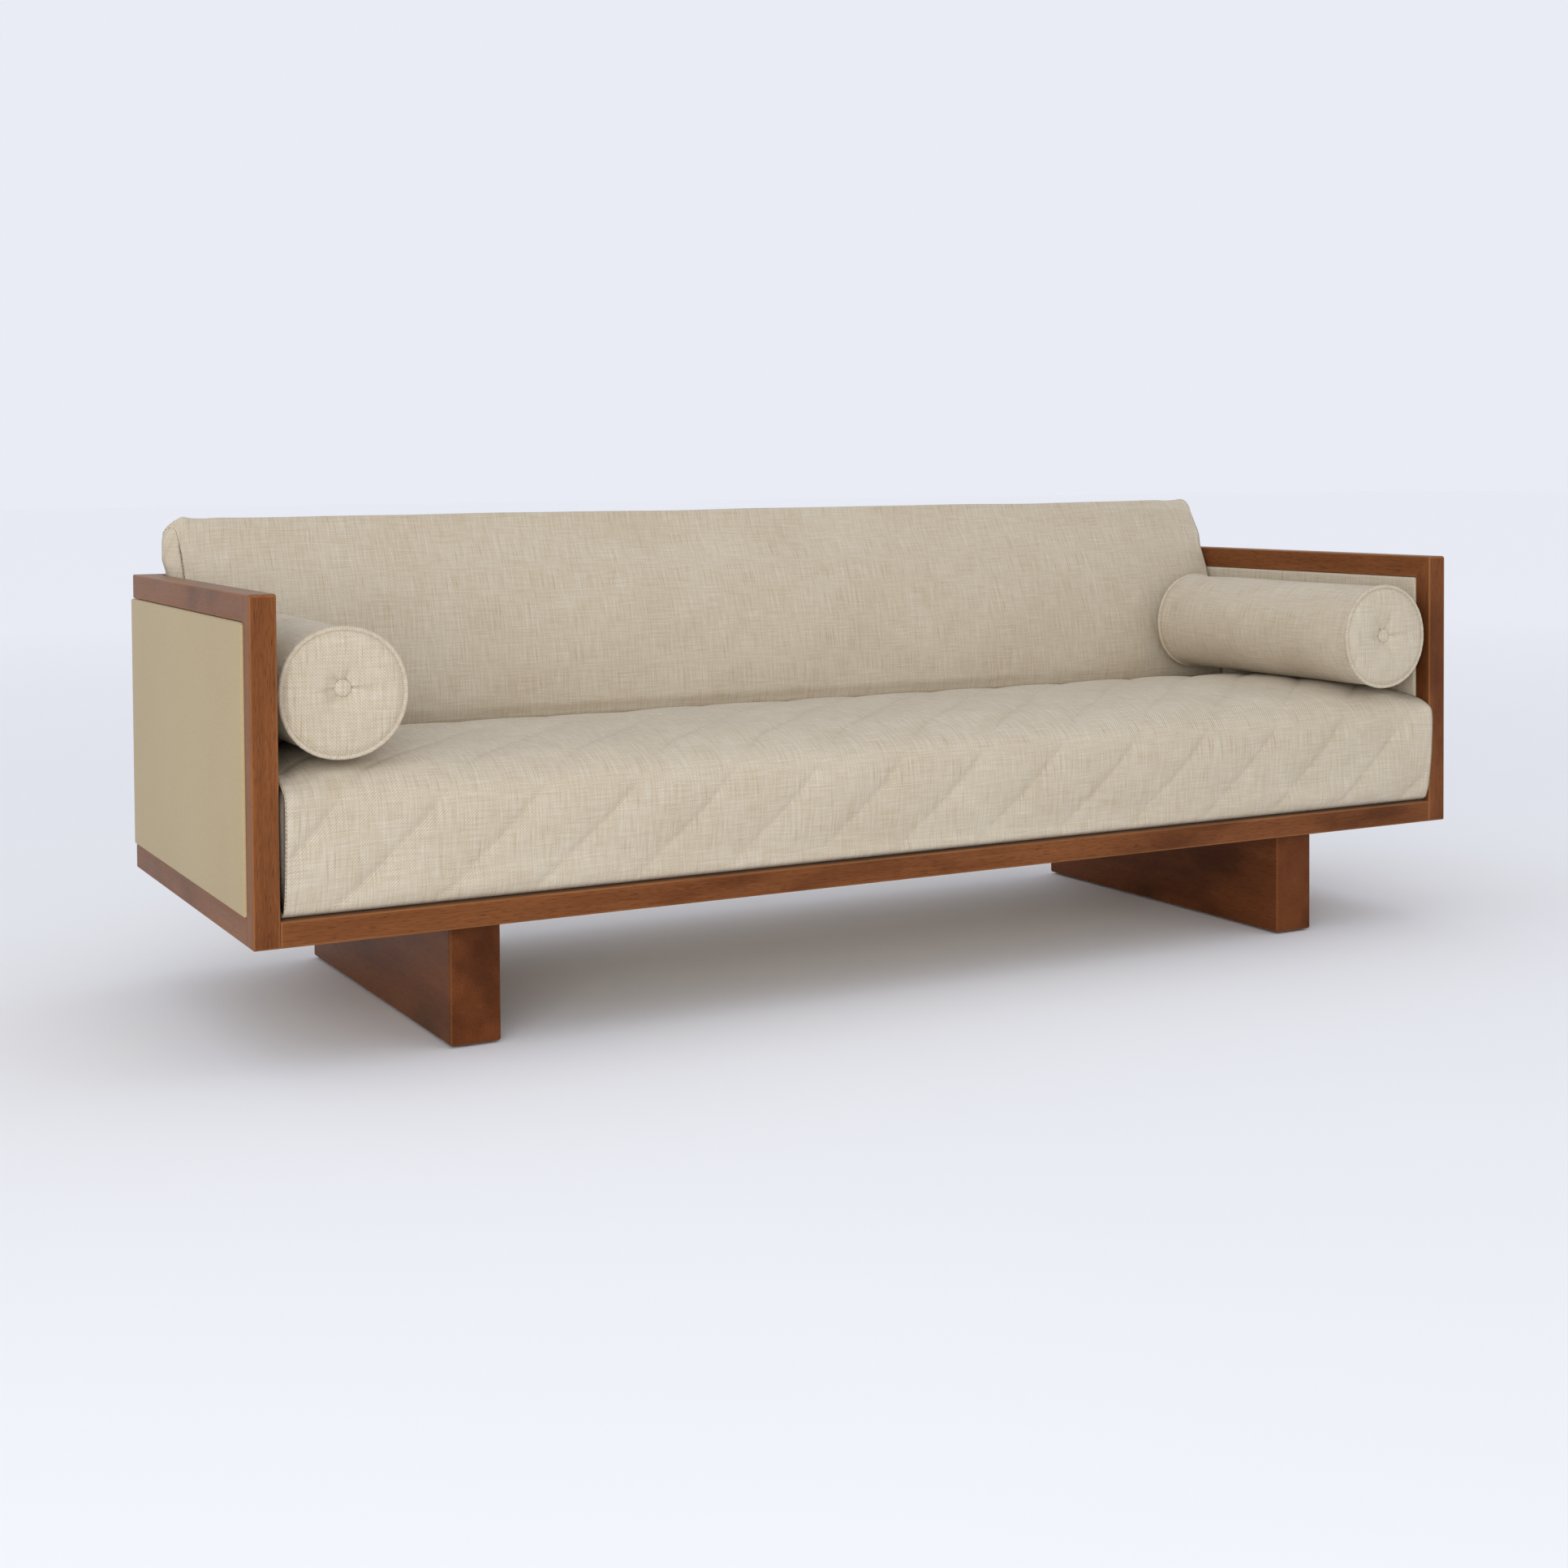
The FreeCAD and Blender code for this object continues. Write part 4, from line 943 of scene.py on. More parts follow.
@dataclass
class Cushion:
    """A long cushion in one sleeve of linen, with a sewn panel in each end.

    The sleeve's outline passes smoothly from the one at its ends to the one along its
    middle. It is blown up by cloth simulation, and then gets its seams and quilting.
    """

    name: str
    body: str
    nodes: tuple[str, ...]
    end_outline: list[tuple[float, float]]
    mid_outline: list[tuple[float, float]]
    linen: Linen = field(default_factory=Linen)
    fill: float = 0.8
    cell: float = 0.0046
    trial_cell: float = 0.015
    seam_in: float = 0.0022
    corner: float = 0.0
    panel_rows: int = 14
    graded: float = 0.024
    graded_rows: int = 8
    grading: float = 1.6
    pole_share: float = 0.04
    drop_reach: float = 0.09
    puff: float = 0.005
    seam_depth: float = 0.0022
    seam_width: float = 0.0030
    uneven: float = 0.0010
    pucker_pitch: float = 0.023
    pucker_height: float = 0.0005
    stitch_step: float = 0.0062
    stitch_length: float = 0.0042
    stitch_radius: float = 0.00055

    def build(self) -> bpy.types.Object:
        """Make the cushion and dress it.

        Returns:
            The finished cushion.
        """
        low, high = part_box(self.nodes[0])
        half = (high[0] - low[0]) / 2
        mid = np.array(self.mid_outline) / 1000
        length = np.linalg.norm(mid - np.roll(mid, -1, axis=0), axis=1).sum()
        around = int(length / self.cell)
        rows = int(2 * half / self.cell)
        grid, place, reach, seam = self.shape(half, rows, around)
        grid = grid + self.blown(half, length, place, around)
        grid = self.settled(grid + self.details(grid, place, reach, seam))
        piece = sewn_sleeve(self.name, grid, place, reach, self.panel_rows, (1, 2))
        piece.data.materials.append(self.linen.make(f"{self.name}_linen"))
        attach(piece, self.body)
        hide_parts(*self.nodes)
        log.info("%s: %d points", self.name, len(piece.data.vertices))
        self.sew(grid, place, reach, half)
        return piece

    def sew(self, grid: Array, place: Array, reach: Array, half: float) -> None:
        """Sew both end seams: a stitch to every few millimetres, down in the groove.

        Args:
            grid: the finished cover's points.
            place: each row's place on the cloth; not used here.
            reach: each point's place round it.
            half: half the cushion's length; not used here.
        """
        normal = grid_normals(grid)
        around = grid.shape[1]
        count = int(reach[-1] / self.stitch_step)
        step = np.arange(count) * around / count
        spots, ways, outs = [], [], []
        for row in (self.panel_rows, grid.shape[0] - 1 - self.panel_rows):
            at = np.full(count, float(row))
            here = read_grid(grid, at, step)
            spots.append(here)
            ways.append(read_grid(grid, at, step + 0.5) - here)
            outs.append(read_grid(normal, at, step))
        self.thread("seam_stitches", spots, ways, outs, self.stitch_length, self.stitch_radius, SEAM_THREAD)

    def thread(
        self, part: str, spots: list, ways: list, outs: list, length: float, radius: float, stuff: PlainStuff
    ) -> None:
        """Make one kind of stitches and let them ride with the cushion.

        Args:
            part: the end of the piece's name.
            spots: places, a list of arrays.
            ways: directions, a list of arrays.
            outs: outward directions, a list of arrays.
            length: a stitch's length.
            radius: its thread's radius.
            stuff: the thread's finish.
        """
        out = np.vstack(outs)
        lifted = np.vstack(spots) + out * radius * 0.7
        piece = stitches(f"{self.name}_{part}", lifted, np.vstack(ways), out, length, radius)
        piece.data.materials.append(stuff.make(piece.name))
        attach(piece, self.body)
        log.info("%s: %d stitches", piece.name, len(lifted))

    def shape(self, half: float, rows: int, around: int) -> tuple[Array, Array, Array, Array]:
        """The cushion before it is blown up.

        Each row's outline is the end one and the middle one mixed by an eased share of
        the way in from the seam. In the panel rows it shrinks evenly to its middle,
        and the panel stands out by the fourth power of the share that it has shrunk.

        Args:
            half: half the cushion's length.
            rows: rows in the sleeve between the seams.
            around: points round it.

        Returns:
            The grid, each row's place on the cloth, each point's, and each row's way
            in from its seam.
        """
        share = np.linspace(self.pole_share, 1, self.panel_rows, endpoint=False)
        graded = np.linspace(0, 1, self.graded_rows, endpoint=False) ** self.grading * self.graded
        even = np.linspace(self.graded, half * 2 - 2 * self.seam_in - self.graded, rows)
        between = 2 * (half - self.seam_in)
        sleeve = np.concatenate([graded, even, between - graded[::-1]]) - half + self.seam_in
        panel_x = -half + self.seam_in * share**4
        x = np.concatenate([panel_x, sleeve, -panel_x[::-1]])
        shrink = np.concatenate([share, np.ones(len(sleeve)), share[::-1]])
        seam = np.maximum(half - self.seam_in - np.abs(x), 0)
        seam[: self.panel_rows] = -(1 - share) * 0.1
        seam[-self.panel_rows:] = -(1 - share[::-1]) * 0.1
        end = closed_curve(self.end_outline, around) / 1000
        middle = closed_curve(self.mid_outline, around) / 1000
        mix = ease(seam, 0.0, self.drop_reach)[:, None, None]
        outline = end[None] * (1 - mix) + middle[None] * mix
        if self.corner > 0:
            into = np.clip(self.corner - seam, 0, self.corner)
            cut = self.corner - np.sqrt(self.corner**2 - into**2)
            top = outline[:, :, 1].max()
            outline[:, :, 1] -= cut[:, None] * ease(outline[:, :, 1], top - 3.5 * self.corner, top)
        centre = outline.mean(axis=1, keepdims=True)
        outline = centre + (outline - centre) * shrink[:, None, None]
        grid = np.concatenate([np.broadcast_to(x[:, None, None], (len(x), around, 1)), outline], axis=2)
        steps = np.linalg.norm(middle - np.roll(middle, -1, axis=0), axis=1)
        return grid, x, np.concatenate(([0], np.cumsum(steps))), seam

    def blown(self, half: float, length: float, place: Array, around: int) -> Array:
        """The cloth simulation's moves, read on the fine grid.

        Args:
            half: half the cushion's length.
            length: the way round its outline.
            place: the fine grid's rows.
            around: its points round.

        Returns:
            A move for each fine point.
        """
        few_rows = int(2 * half / self.trial_cell)
        few_around = int(length / self.trial_cell)
        grid, few_place, _, seam = self.shape(half, few_rows, few_around)
        normal = grid_normals(grid)
        held = self.held(grid, seam)
        small = grid - normal * (self.puff * (1 - held))[:, :, None]
        moves = Puffer(cap=self.puff * 1.6).displaced(
            self.name, small.reshape(-1, 3), sleeve_faces(*held.shape), held.ravel()
        )
        total = small - grid + moves.reshape(grid.shape)
        where = np.interp(place, few_place, np.arange(len(few_place)))
        return resampled(total, where, around)

    def held(self, grid: Array, seam: Array) -> Array:
        """How firmly each point is held: by the panels, the seams and what is under it.

        Args:
            grid: the points.
            seam: each row's way in from its seam.

        Returns:
            From 0, free, to 1, held.
        """
        at_seam = 1 - ease(seam, 0.0, 0.03)
        floor = grid[:, :, 2].min()
        resting = 1 - ease(grid[:, :, 2], floor + 0.004, floor + 0.03)
        return np.clip(np.maximum(at_seam[:, None], resting), 0, 1)

    def details(self, grid: Array, place: Array, reach: Array, seam: Array) -> Array:
        """Seams, puckers and unevenness, along the surface's normal.

        The seam is a bell-shaped groove. Its puckers are a fine wave that dies away
        from it. The rest of the cover is uneven by a mean of sine waves.

        Args:
            grid: the points.
            place: each row's place on the cloth.
            reach: each point's place round it.
            seam: each row's way in from its seam.

        Returns:
            A move for each point.
        """
        normal = grid_normals(grid)
        u, v = np.meshgrid(place, reach[:-1], indexing="ij")
        away = seam[:, None]
        height = -self.seam_depth * bell(away, self.seam_width)
        pucker = np.sin(2 * np.pi * v / self.pucker_pitch + 3 * ripple(u, v, 0.12, 3))
        height = height + self.pucker_height * pucker * bell(away - 0.008, 0.007) * (away > 0)
        height = height + self.uneven * ripple(u, v, 0.30, 1) * ease(away, 0.0, 0.06)
        height = height + self.sewing(u, v, grid) * ease(away, 0.0, 0.02)
        resting = 1 - ease(grid[:, :, 2], grid[:, :, 2].min() + 0.002, grid[:, :, 2].min() + 0.02)
        height = height * (1 - resting)
        height[: self.panel_rows] = np.minimum(height[: self.panel_rows], 0)
        height[-self.panel_rows:] = np.minimum(height[-self.panel_rows:], 0)
        return normal * height[:, :, None]

    def sewing(self, u: Array, v: Array, grid: Array) -> Array:
        """A plain cover has no sewing but its seams."""
        return np.zeros_like(u)

    def settled(self, grid: Array) -> Array:
        """The finished points, moved where the cushion's ends press on the frame."""
        return grid


@dataclass
class BackCushion(Cushion):
    """The back cushion: its ends swell above the arms, and the left one is drawn in at its front."""

    swell_out: float = 0.0068
    draw_in: float = 0.0135
    rail_top: float = 0.665
    tilt: float = 0.003
    end_reach: float = 0.05
    fade: float = 0.03
    seam_heights: tuple[float, float] = (0.60, 0.66)
    tilt_heights: tuple[float, float] = (0.50, 0.76)

    def settled(self, grid: Array) -> Array:
        """Move the ends out above the arms' rails, and the left front seam in.

        Both moves fade away five centimetres in from the end. The seam's move is full at
        the front face and fades over the three centimetres behind it. The top edge rises
        a little to the right, in proportion to the place along it.

        Args:
            grid: the points.

        Returns:
            The moved points.
        """
        x, y, z = (grid[:, :, axis] for axis in range(3))
        half = np.abs(x).max()
        near_end = ease(np.abs(x), half - self.end_reach, half - 0.003)
        above = ease(z, self.rail_top, self.rail_top + self.fade)
        face_y, face_z = np.array(BACK_FACE).T / 1000
        depth = y - np.interp(z, face_z, face_y)
        in_front = (1 - ease(depth, 0.0, self.fade)) * ease(z, *self.seam_heights) * (x < 0)
        out = self.swell_out * above * (1 - in_front) - self.draw_in * in_front
        lift = self.tilt * x / half * ease(z, *self.tilt_heights)
        return np.stack([x + np.sign(x) * near_end * out, y, z + lift], axis=-1)


@dataclass
class QuiltedSeat(Cushion):
    """The seat cushion, with channels quilted across it at forty-five degrees."""

    first: float = -0.072
    start_height: float = 0.220
    pitch: float = 0.1527
    depth: float = 0.0062
    swell: float = 0.0018
    corner_out: float = 0.0026
    thread_groove: float = 0.0034
    broad_groove: float = 0.014
    on_front: float = 0.85
    on_top: float = 0.62
    front_face: tuple[float, float] = (0.35, 0.375)
    top_face: tuple[float, float] = (0.39, 0.402)
    nose: tuple[float, float] = (0.30, 0.36)
    shoulder_height: float = 0.40
    shoulder_width: float = 0.022
    rear: float = 0.33
    channels: tuple[int, int] = (-16, 9)
    quilt_stitch: tuple[float, float, float] = (0.0036, 0.0027, 0.0004)

    def sewing(self, u: Array, v: Array, grid: Array) -> Array:
        """The quilting: one bell-shaped groove to each channel, and a swell between.

        On the front a channel rises to the right by its own height, so the place along
        the cushion plus the way round the outline is the same all along it. A slow wave
        bends it a little.

        Args:
            u: each point's place along the cushion.
            v: its place round the outline.
            grid: the points.

        Returns:
            Each point's height.
        """
        turn = self.count_from(u, v, self.at_foot(grid, v[0]))
        off = (turn - np.round(turn)) * self.pitch / math.sqrt(2)
        groove = bell(off, self.thread_groove) * 0.62 + bell(off, self.broad_groove) * 0.38
        rise = np.cos(np.pi * off / (self.pitch / math.sqrt(2))) ** 2
        z, y = grid[:, :, 2], grid[:, :, 1]
        front = ease(-y, *self.front_face)
        top = ease(z, *self.top_face)
        shoulder = bell(z - self.shoulder_height, self.shoulder_width) * ease(-y, *self.nose)
        strength = (self.on_front * front + self.on_top * top * (1 - front)) * (1 - 0.75 * shoulder)
        strength = strength * ease(self.rear - y, 0.0, 0.01)
        crinkle = 0.35 * np.abs(off) / 0.03 * bell(off, 0.03) * ripple(u, v, 0.022, 8)
        return strength * (self.swell * (1 - rise) - self.depth * groove + 0.0006 * crinkle)

    def settled(self, grid: Array) -> Array:
        """Let the front corners, clear of the arms' panels, come out to the posts."""
        x, y, z = (grid[:, :, axis] for axis in range(3))
        near_end = ease(np.abs(x), np.abs(x).max() - 0.03, np.abs(x).max() - 0.003)
        out = self.corner_out * near_end * ease(-y, 0.336, 0.346)
        return np.stack([x + np.sign(x) * out, y, z], axis=-1)

    def at_foot(self, grid: Array, reach: Array) -> float:
        """The way round the outline to the height that the channels are counted from."""
        front = grid[grid.shape[0] // 2]
        foot = np.argmin(np.abs(front[:, 2] - self.start_height - 0.03) + 9 * (front[:, 1] > 0))
        return float(reach[foot] + (front[foot, 2] - self.start_height))

    def count_from(self, u: Array, v: Array, at_foot: float) -> Array:
        """How many channels a point lies from the first one, bends included."""
        bend = 0.006 * np.sin(2 * np.pi * v / 0.24 + 1.1) + 0.004 * ripple(u, v, 0.5, 5)
        return (u + v - at_foot - self.first + bend) / self.pitch

    def sew(self, grid: Array, place: Array, reach: Array, half: float) -> None:
        """Sew the end seams and then every channel, down in its groove.

        A channel's place along the cushion is found from the way round by putting the
        last guess into its bend, four times.

        Args:
            grid: the finished cover's points.
            place: each row's place on the cloth.
            reach: each point's place round it.
            half: half the cushion's length.
        """
        super().sew(grid, place, reach, half)
        normal = grid_normals(grid)
        around = grid.shape[1]
        at_foot = self.at_foot(grid, reach[:-1])
        middle = grid[grid.shape[0] // 2]
        seen = (middle[:, 2] > 0.235) & (middle[:, 1] < 0.19)
        step_apart, length, radius = self.quilt_stitch
        v = np.arange(reach[:-1][seen].min(), reach[:-1][seen].max(), step_apart)
        spots, ways, outs = [], [], []
        for number in range(*self.channels):
            u = np.full_like(v, self.first)
            for _ in range(4):
                u = u - (self.count_from(u, v, at_foot) - number) * self.pitch
            inside = np.abs(u) < half - 0.03
            row = np.interp(u[inside], place, np.arange(len(place)))
            step = np.interp(v[inside], reach[:-1], np.arange(around))
            if len(row) < 4:
                continue
            here = read_grid(grid, row, step)
            spots.append(here)
            ways.append(np.gradient(here, axis=0))
            outs.append(read_grid(normal, row, step))
        self.thread("quilting_stitches", spots, ways, outs, length, radius, QUILT_THREAD)


# An end's creases: each one's angle from the top, its depth, its width as an angle, and
# how far out it reaches as a share of the radius.
CREASES = (
    (0.38, 0.0038, 0.26, 0.46), (-0.50, 0.0036, 0.24, 0.44), (1.50, 0.0036, 0.085, 0.85),
    (-1.62, 0.0028, 0.10, 0.50), (2.7, 0.0014, 0.22, 0.4), (-2.5, 0.0014, 0.22, 0.4),
)


@dataclass
class Bolster:
    """A roll of linen with piping round both ends and a covered button in each."""

    side: Side
    linen: Linen = field(default_factory=Linen)
    cell: float = 0.0038
    panel_rows: int = 26
    piping_radius: float = 0.0036
    button_radius: float = 0.0124
    button_rise: float = 0.0042
    dimple: float = 0.0125
    dish: float = 0.0035
    dome: float = 0.0035
    stand: float = 0.006
    rim_groove: float = 0.0042
    rim_at: float = 0.055
    rim_width: float = 0.024
    edge_drop: float = 0.0045
    seam_hollow: float = 0.0025
    belly: float = 0.0012
    wrinkle: float = 0.0011
    gather: float = 0.0007
    gathers: int = 47
    puff: float = 0.003
    fill: float = 0.85
    stitches_round: int = 108
    stitch_length: float = 0.0034
    stitch_radius: float = 0.0004
    stitch_share: float = 0.948
    trial_every: int = 3
    narrow: dict[Side, float] = field(default_factory=lambda: {Side.LEFT: 0.992, Side.RIGHT: 1.0})
    button_up: dict[Side, float] = field(default_factory=lambda: {Side.LEFT: 0.0065, Side.RIGHT: 0.001})

    def build(self) -> None:
        """Make the roll, its piping and its buttons, and dress them."""
        name = f"{self.side.word}_bolster"
        low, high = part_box(f"{name}_cover")
        ring_low, ring_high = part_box(f"{name}_piping")
        self.radius = (high[2] - low[2]) / 2
        self.centre = ((low[0] + high[0]) / 2, (low[2] + high[2]) / 2)
        self.ring_at = (ring_low[1] + self.piping_radius, ring_high[1] - self.piping_radius)
        self.outer = (ring_high[2] - ring_low[2]) / 2
        cloth = self.linen.make(f"{name}_linen")
        cover = self.roll(f"{name}_roll")
        piping = self.piping(f"{name}_cord")
        buttons = self.buttons(f"{name}_button_pair")
        stands_for = {cover: ("cover", "core"), piping: ("piping",), buttons: ("buttons",)}
        for piece, nodes in stands_for.items():
            piece.data.materials.append(cloth)
            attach(piece, name)
            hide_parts(*(f"{name}_{node}" for node in nodes))
            log.info("%s: %d points", piece.name, len(piece.data.vertices))
        self.sew(f"{name}_seam_stitches", name)

    def sew(self, name: str, body: str) -> None:
        """Sew the piping in: stitches round each end, just inside the cord.

        Args:
            name: the piece's name.
            body: the body it rides on.
        """
        turn = np.linspace(0, 2 * np.pi, self.stitches_round, endpoint=False)
        share = self.stitch_share
        spots, ways, outs = [], [], []
        for at, sign in zip(self.ring_at, (-1.0, 1.0)):
            unit_x, unit_z = self.outline(turn, np.full_like(turn, at))
            stand = self.end_relief(np.full_like(turn, share), turn)
            reach, level = self.radius * share, at + sign * (stand + 0.0002)
            ring = np.stack([self.centre[0] + reach * unit_x, level, self.centre[1] + reach * unit_z], -1)
            spots.append(ring)
            ways.append(np.roll(ring, -1, axis=0) - np.roll(ring, 1, axis=0))
            outs.append(np.tile([0.0, sign, 0.0], (len(turn), 1)))
        piece = stitches(name, np.vstack(spots), np.vstack(ways), np.vstack(outs), self.stitch_length,
                         self.stitch_radius)
        piece.data.materials.append(QUILT_THREAD.make(name))
        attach(piece, body)
        log.info("%s: %d stitches", name, 2 * len(turn))

    def outline(self, angle: Array, y: Array) -> tuple[Array, Array]:
        """The roll's outline, a circle a little squared and uneven along the roll.

        The radius is the circle's, less 0.008 of it times the cosine of four times the
        angle, plus 0.005 of it times a sine that turns three times and drifts along Y.

        Args:
            angle: the angle from the top, towards +X.
            y: the place along the roll, for its slow unevenness.

        Returns:
            The outline's x and z, for a radius of one.
        """
        squared = 1 - 0.008 * np.cos(4 * angle) + 0.005 * np.sin(3 * angle + 9 * y)
        return squared * np.sin(angle) * self.narrow[self.side], squared * np.cos(angle) * 0.992

    def roll(self, name: str) -> bpy.types.Object:
        """The sleeve and its two round ends, which draw in to the buttons.

        Along the tube the radius dips by a bell just inside each seam. In an end, the
        shrunk outline stands out as a shallow dome and falls to the button by a bell.

        Args:
            name: the piece's name.

        Returns:
            The piece.
        """
        start, end = self.ring_at
        around = int(2 * math.pi * self.radius / self.cell)
        rows = int((end - start) / self.cell)
        angle = np.linspace(0, 2 * np.pi, around, endpoint=False)
        share = np.linspace(0.015, 1, self.panel_rows, endpoint=False)
        y = np.concatenate([np.full(self.panel_rows, start), np.linspace(start, end, rows),
                            np.full(self.panel_rows, end)])
        shrink = np.concatenate([share, np.ones(rows), share[::-1]])
        way, turn = np.meshgrid(y, angle, indexing="ij")
        away = np.minimum(way - start, end - way)
        radius = self.radius * shrink[:, None] * np.ones_like(turn)
        in_panel = shrink[:, None] < 1
        body = ~in_panel
        hollow = -self.seam_hollow * bell(away, 0.006) + self.belly * ease(away, 0.0, 0.05)
        wrinkle = self.wrinkle * ripple(way, turn * self.radius, 0.20, 20 + self.side.value)
        folds = np.sin(turn * self.gathers + 2.5 * ripple(way, turn, 0.9, 4))
        gather = self.gather * folds * bell(away - 0.012, 0.014)
        radius = radius + body * (hollow + wrinkle * ease(away, 0.0, 0.03) + gather)
        unit_x, unit_z = self.outline(turn, way)
        x = self.centre[0] + radius * unit_x
        z = self.centre[1] + radius * unit_z
        stand = self.end_relief(shrink[:, None] * np.ones_like(turn), turn) * in_panel
        z = z + self.button_up[self.side] * bell(shrink[:, None], 0.55) * in_panel
        sign = np.where(way < (start + end) / 2, -1.0, 1.0)
        grid = np.stack([x, way + sign * stand, z], axis=-1)
        grid = grid + self.blown(grid, away * body)
        reach = np.append(angle, 2 * np.pi) * self.radius
        return sewn_sleeve(name, grid, y, reach, self.panel_rows, (0, 2))

    def end_relief(self, share: Array, turn: Array) -> Array:
        """How far an end stands out: a dome, less the button's dimple and its creases.

        The dome is one less the share's fourth power. The dimple is a narrow bell round
        the middle in a broad one. Each crease is a bell about its own angle, strongest
        near the button. Beside the piping runs a bell-shaped groove.

        Args:
            share: the way out from the middle, as a share of the radius.
            turn: the angle from the top.

        Returns:
            The height, in metres.
        """
        dome = self.dome * (1 - share**4)
        dimple = self.dimple * bell(share, 0.24) + self.dish * bell(share, 0.62)
        creases = 0.0
        for angle, depth, width, far in CREASES:
            off = np.angle(np.exp(1j * (turn - angle)))
            along = bell(share - 0.28, far * 0.6) * (share < 0.97)
            creases = creases + depth * bell(off, width) * along
        rim = self.rim_groove * bell(1 - share - self.rim_at, self.rim_width)
        return dome + self.stand - dimple - creases - rim - self.edge_drop * share**10

    def blown(self, grid: Array, away: Array) -> Array:
        """Moves from a cloth simulation of every third row and point, read on them all.

        Args:
            grid: the fine grid.
            away: each point's way in from its seam.

        Returns:
            A move for each point.
        """
        rows, around, _ = grid.shape
        every = self.trial_every
        row_at = np.unique(np.append(np.arange(0, rows, every), rows - 1))
        step_at = np.arange(0, around - around % every, every)
        few = grid[np.ix_(row_at, step_at)]
        held = 1 - ease(away[np.ix_(row_at, step_at)], 0.004, 0.03)
        normal = grid_normals(few)
        small = few - normal * (self.puff * (1 - held))[:, :, None]
        moves = Puffer(cap=self.puff * 1.6).displaced(
            f"{self.side.word}_roll", small.reshape(-1, 3), sleeve_faces(*held.shape), held.ravel()
        )
        total = small - few + moves.reshape(few.shape)
        where = np.interp(np.arange(rows), row_at, np.arange(len(row_at)))
        return resampled(total, where, around)

    def piping(self, name: str) -> bpy.types.Object:
        """Two rings of covered cord, each a tube carried round the roll's outline.

        The tube's middle follows the outline at the ring's radius. Across it, the
        section is a circle, a little uneven along the ring, as gathered cloth is.

        Args:
            name: the piece's name.

        Returns:
            The piece.
        """
        count, section = 300, 14
        turn = np.linspace(0, 2 * np.pi, count, endpoint=False)[:, None]
        tilt = np.linspace(0, 2 * np.pi, section, endpoint=False)[None, :]
        points, faces, cloth = [], [], []
        quads = np.stack([
            np.add.outer(np.arange(count) * section, np.arange(section)),
            np.add.outer(np.arange(count) * section, (np.arange(section) + 1) % section),
            np.add.outer((np.arange(count) + 1) % count * section, (np.arange(section) + 1) % section),
            np.add.outer((np.arange(count) + 1) % count * section, np.arange(section)),
        ], axis=-1).reshape(-1, 4)
        for number, at in enumerate(self.ring_at):
            unit_x, unit_z = self.outline(turn, np.full_like(turn, at))
            wave = 1 + 0.05 * np.sin(turn * 61) + 0.03 * np.sin(turn * 23 + 1.0)
            out = (self.outer - self.piping_radius) + self.piping_radius * wave * np.cos(tilt)
            side = self.piping_radius * wave * np.sin(tilt)
            ring = np.stack([self.centre[0] + out * unit_x, at + side, self.centre[1] + out * unit_z], -1)
            points.append(ring.reshape(-1, 3))
            faces.append(quads + number * count * section)
            row, step = quads[:, 0] // section, quads[:, 0] % section
            u = np.stack([row, row, row + 1, row + 1], -1) * (2 * np.pi * self.outer / count)
            v = np.stack([step, step + 1, step + 1, step], -1) * (2 * np.pi * self.piping_radius / section)
            cloth.append(np.stack([(u + v) * 0.7, (u - v) * 0.7], -1))
        return new_piece(name, np.vstack(points), np.vstack(faces), np.vstack(cloth))

    def buttons(self, name: str) -> bpy.types.Object:
        """Two covered buttons: each a low dome that rolls under at its rim.

        From the middle out the radius is the sine of an angle and the height its
        cosine, to the power 0.8, so that the dome is flat on top and round at its rim.

        Args:
            name: the piece's name.

        Returns:
            The piece.
        """
        rings, around = 12, 36
        angle = np.linspace(0.06, 2.5, rings)[:, None]
        turn = np.linspace(0, 2 * np.pi, around, endpoint=False)[None, :]
        radius = self.button_radius * np.sin(angle) ** 0.9
        rise = self.button_rise * np.sign(np.cos(angle)) * np.abs(np.cos(angle)) ** 0.8
        points, faces, cloth = [], [], []
        quads = sleeve_faces(rings, around)
        ring = np.arange(around)
        pole = np.stack([np.full(around, rings * around), (ring + 1) % around, ring, ring], -1)
        last = (rings - 1) * around
        close = np.stack([np.full(around, rings * around + 1), last + ring, last + (ring + 1) % around,
                          last + (ring + 1) % around], -1)
        for number, (at, sign) in enumerate(zip(self.ring_at, (-1, 1))):
            base = at + sign * (self.end_relief(np.zeros(1), np.zeros(1))[0] + 0.0034)
            spin = turn * -sign
            x = self.centre[0] + radius * np.sin(spin)
            middle = self.centre[1] + self.button_up[self.side]
            z = middle + radius * np.cos(spin)
            y = np.broadcast_to(base + sign * rise, x.shape)
            made = np.stack([x, y, z], -1).reshape(-1, 3)
            top = [self.centre[0], base + sign * self.button_rise, middle]
            ends = np.array([top, [self.centre[0], made[-1, 1], middle]])
            points.append(np.vstack([made, ends]))
            shift = number * (rings * around + 2)
            every = np.vstack([quads[:, ::-1], pole[:, [0, 2, 1, 1]], close[:, [0, 2, 1, 1]]])
            faces.append(every + shift)
            cloth.append(points[-1][:, [0, 2]][every])
        return new_piece(name, np.vstack(points), np.vstack(faces), np.vstack(cloth))


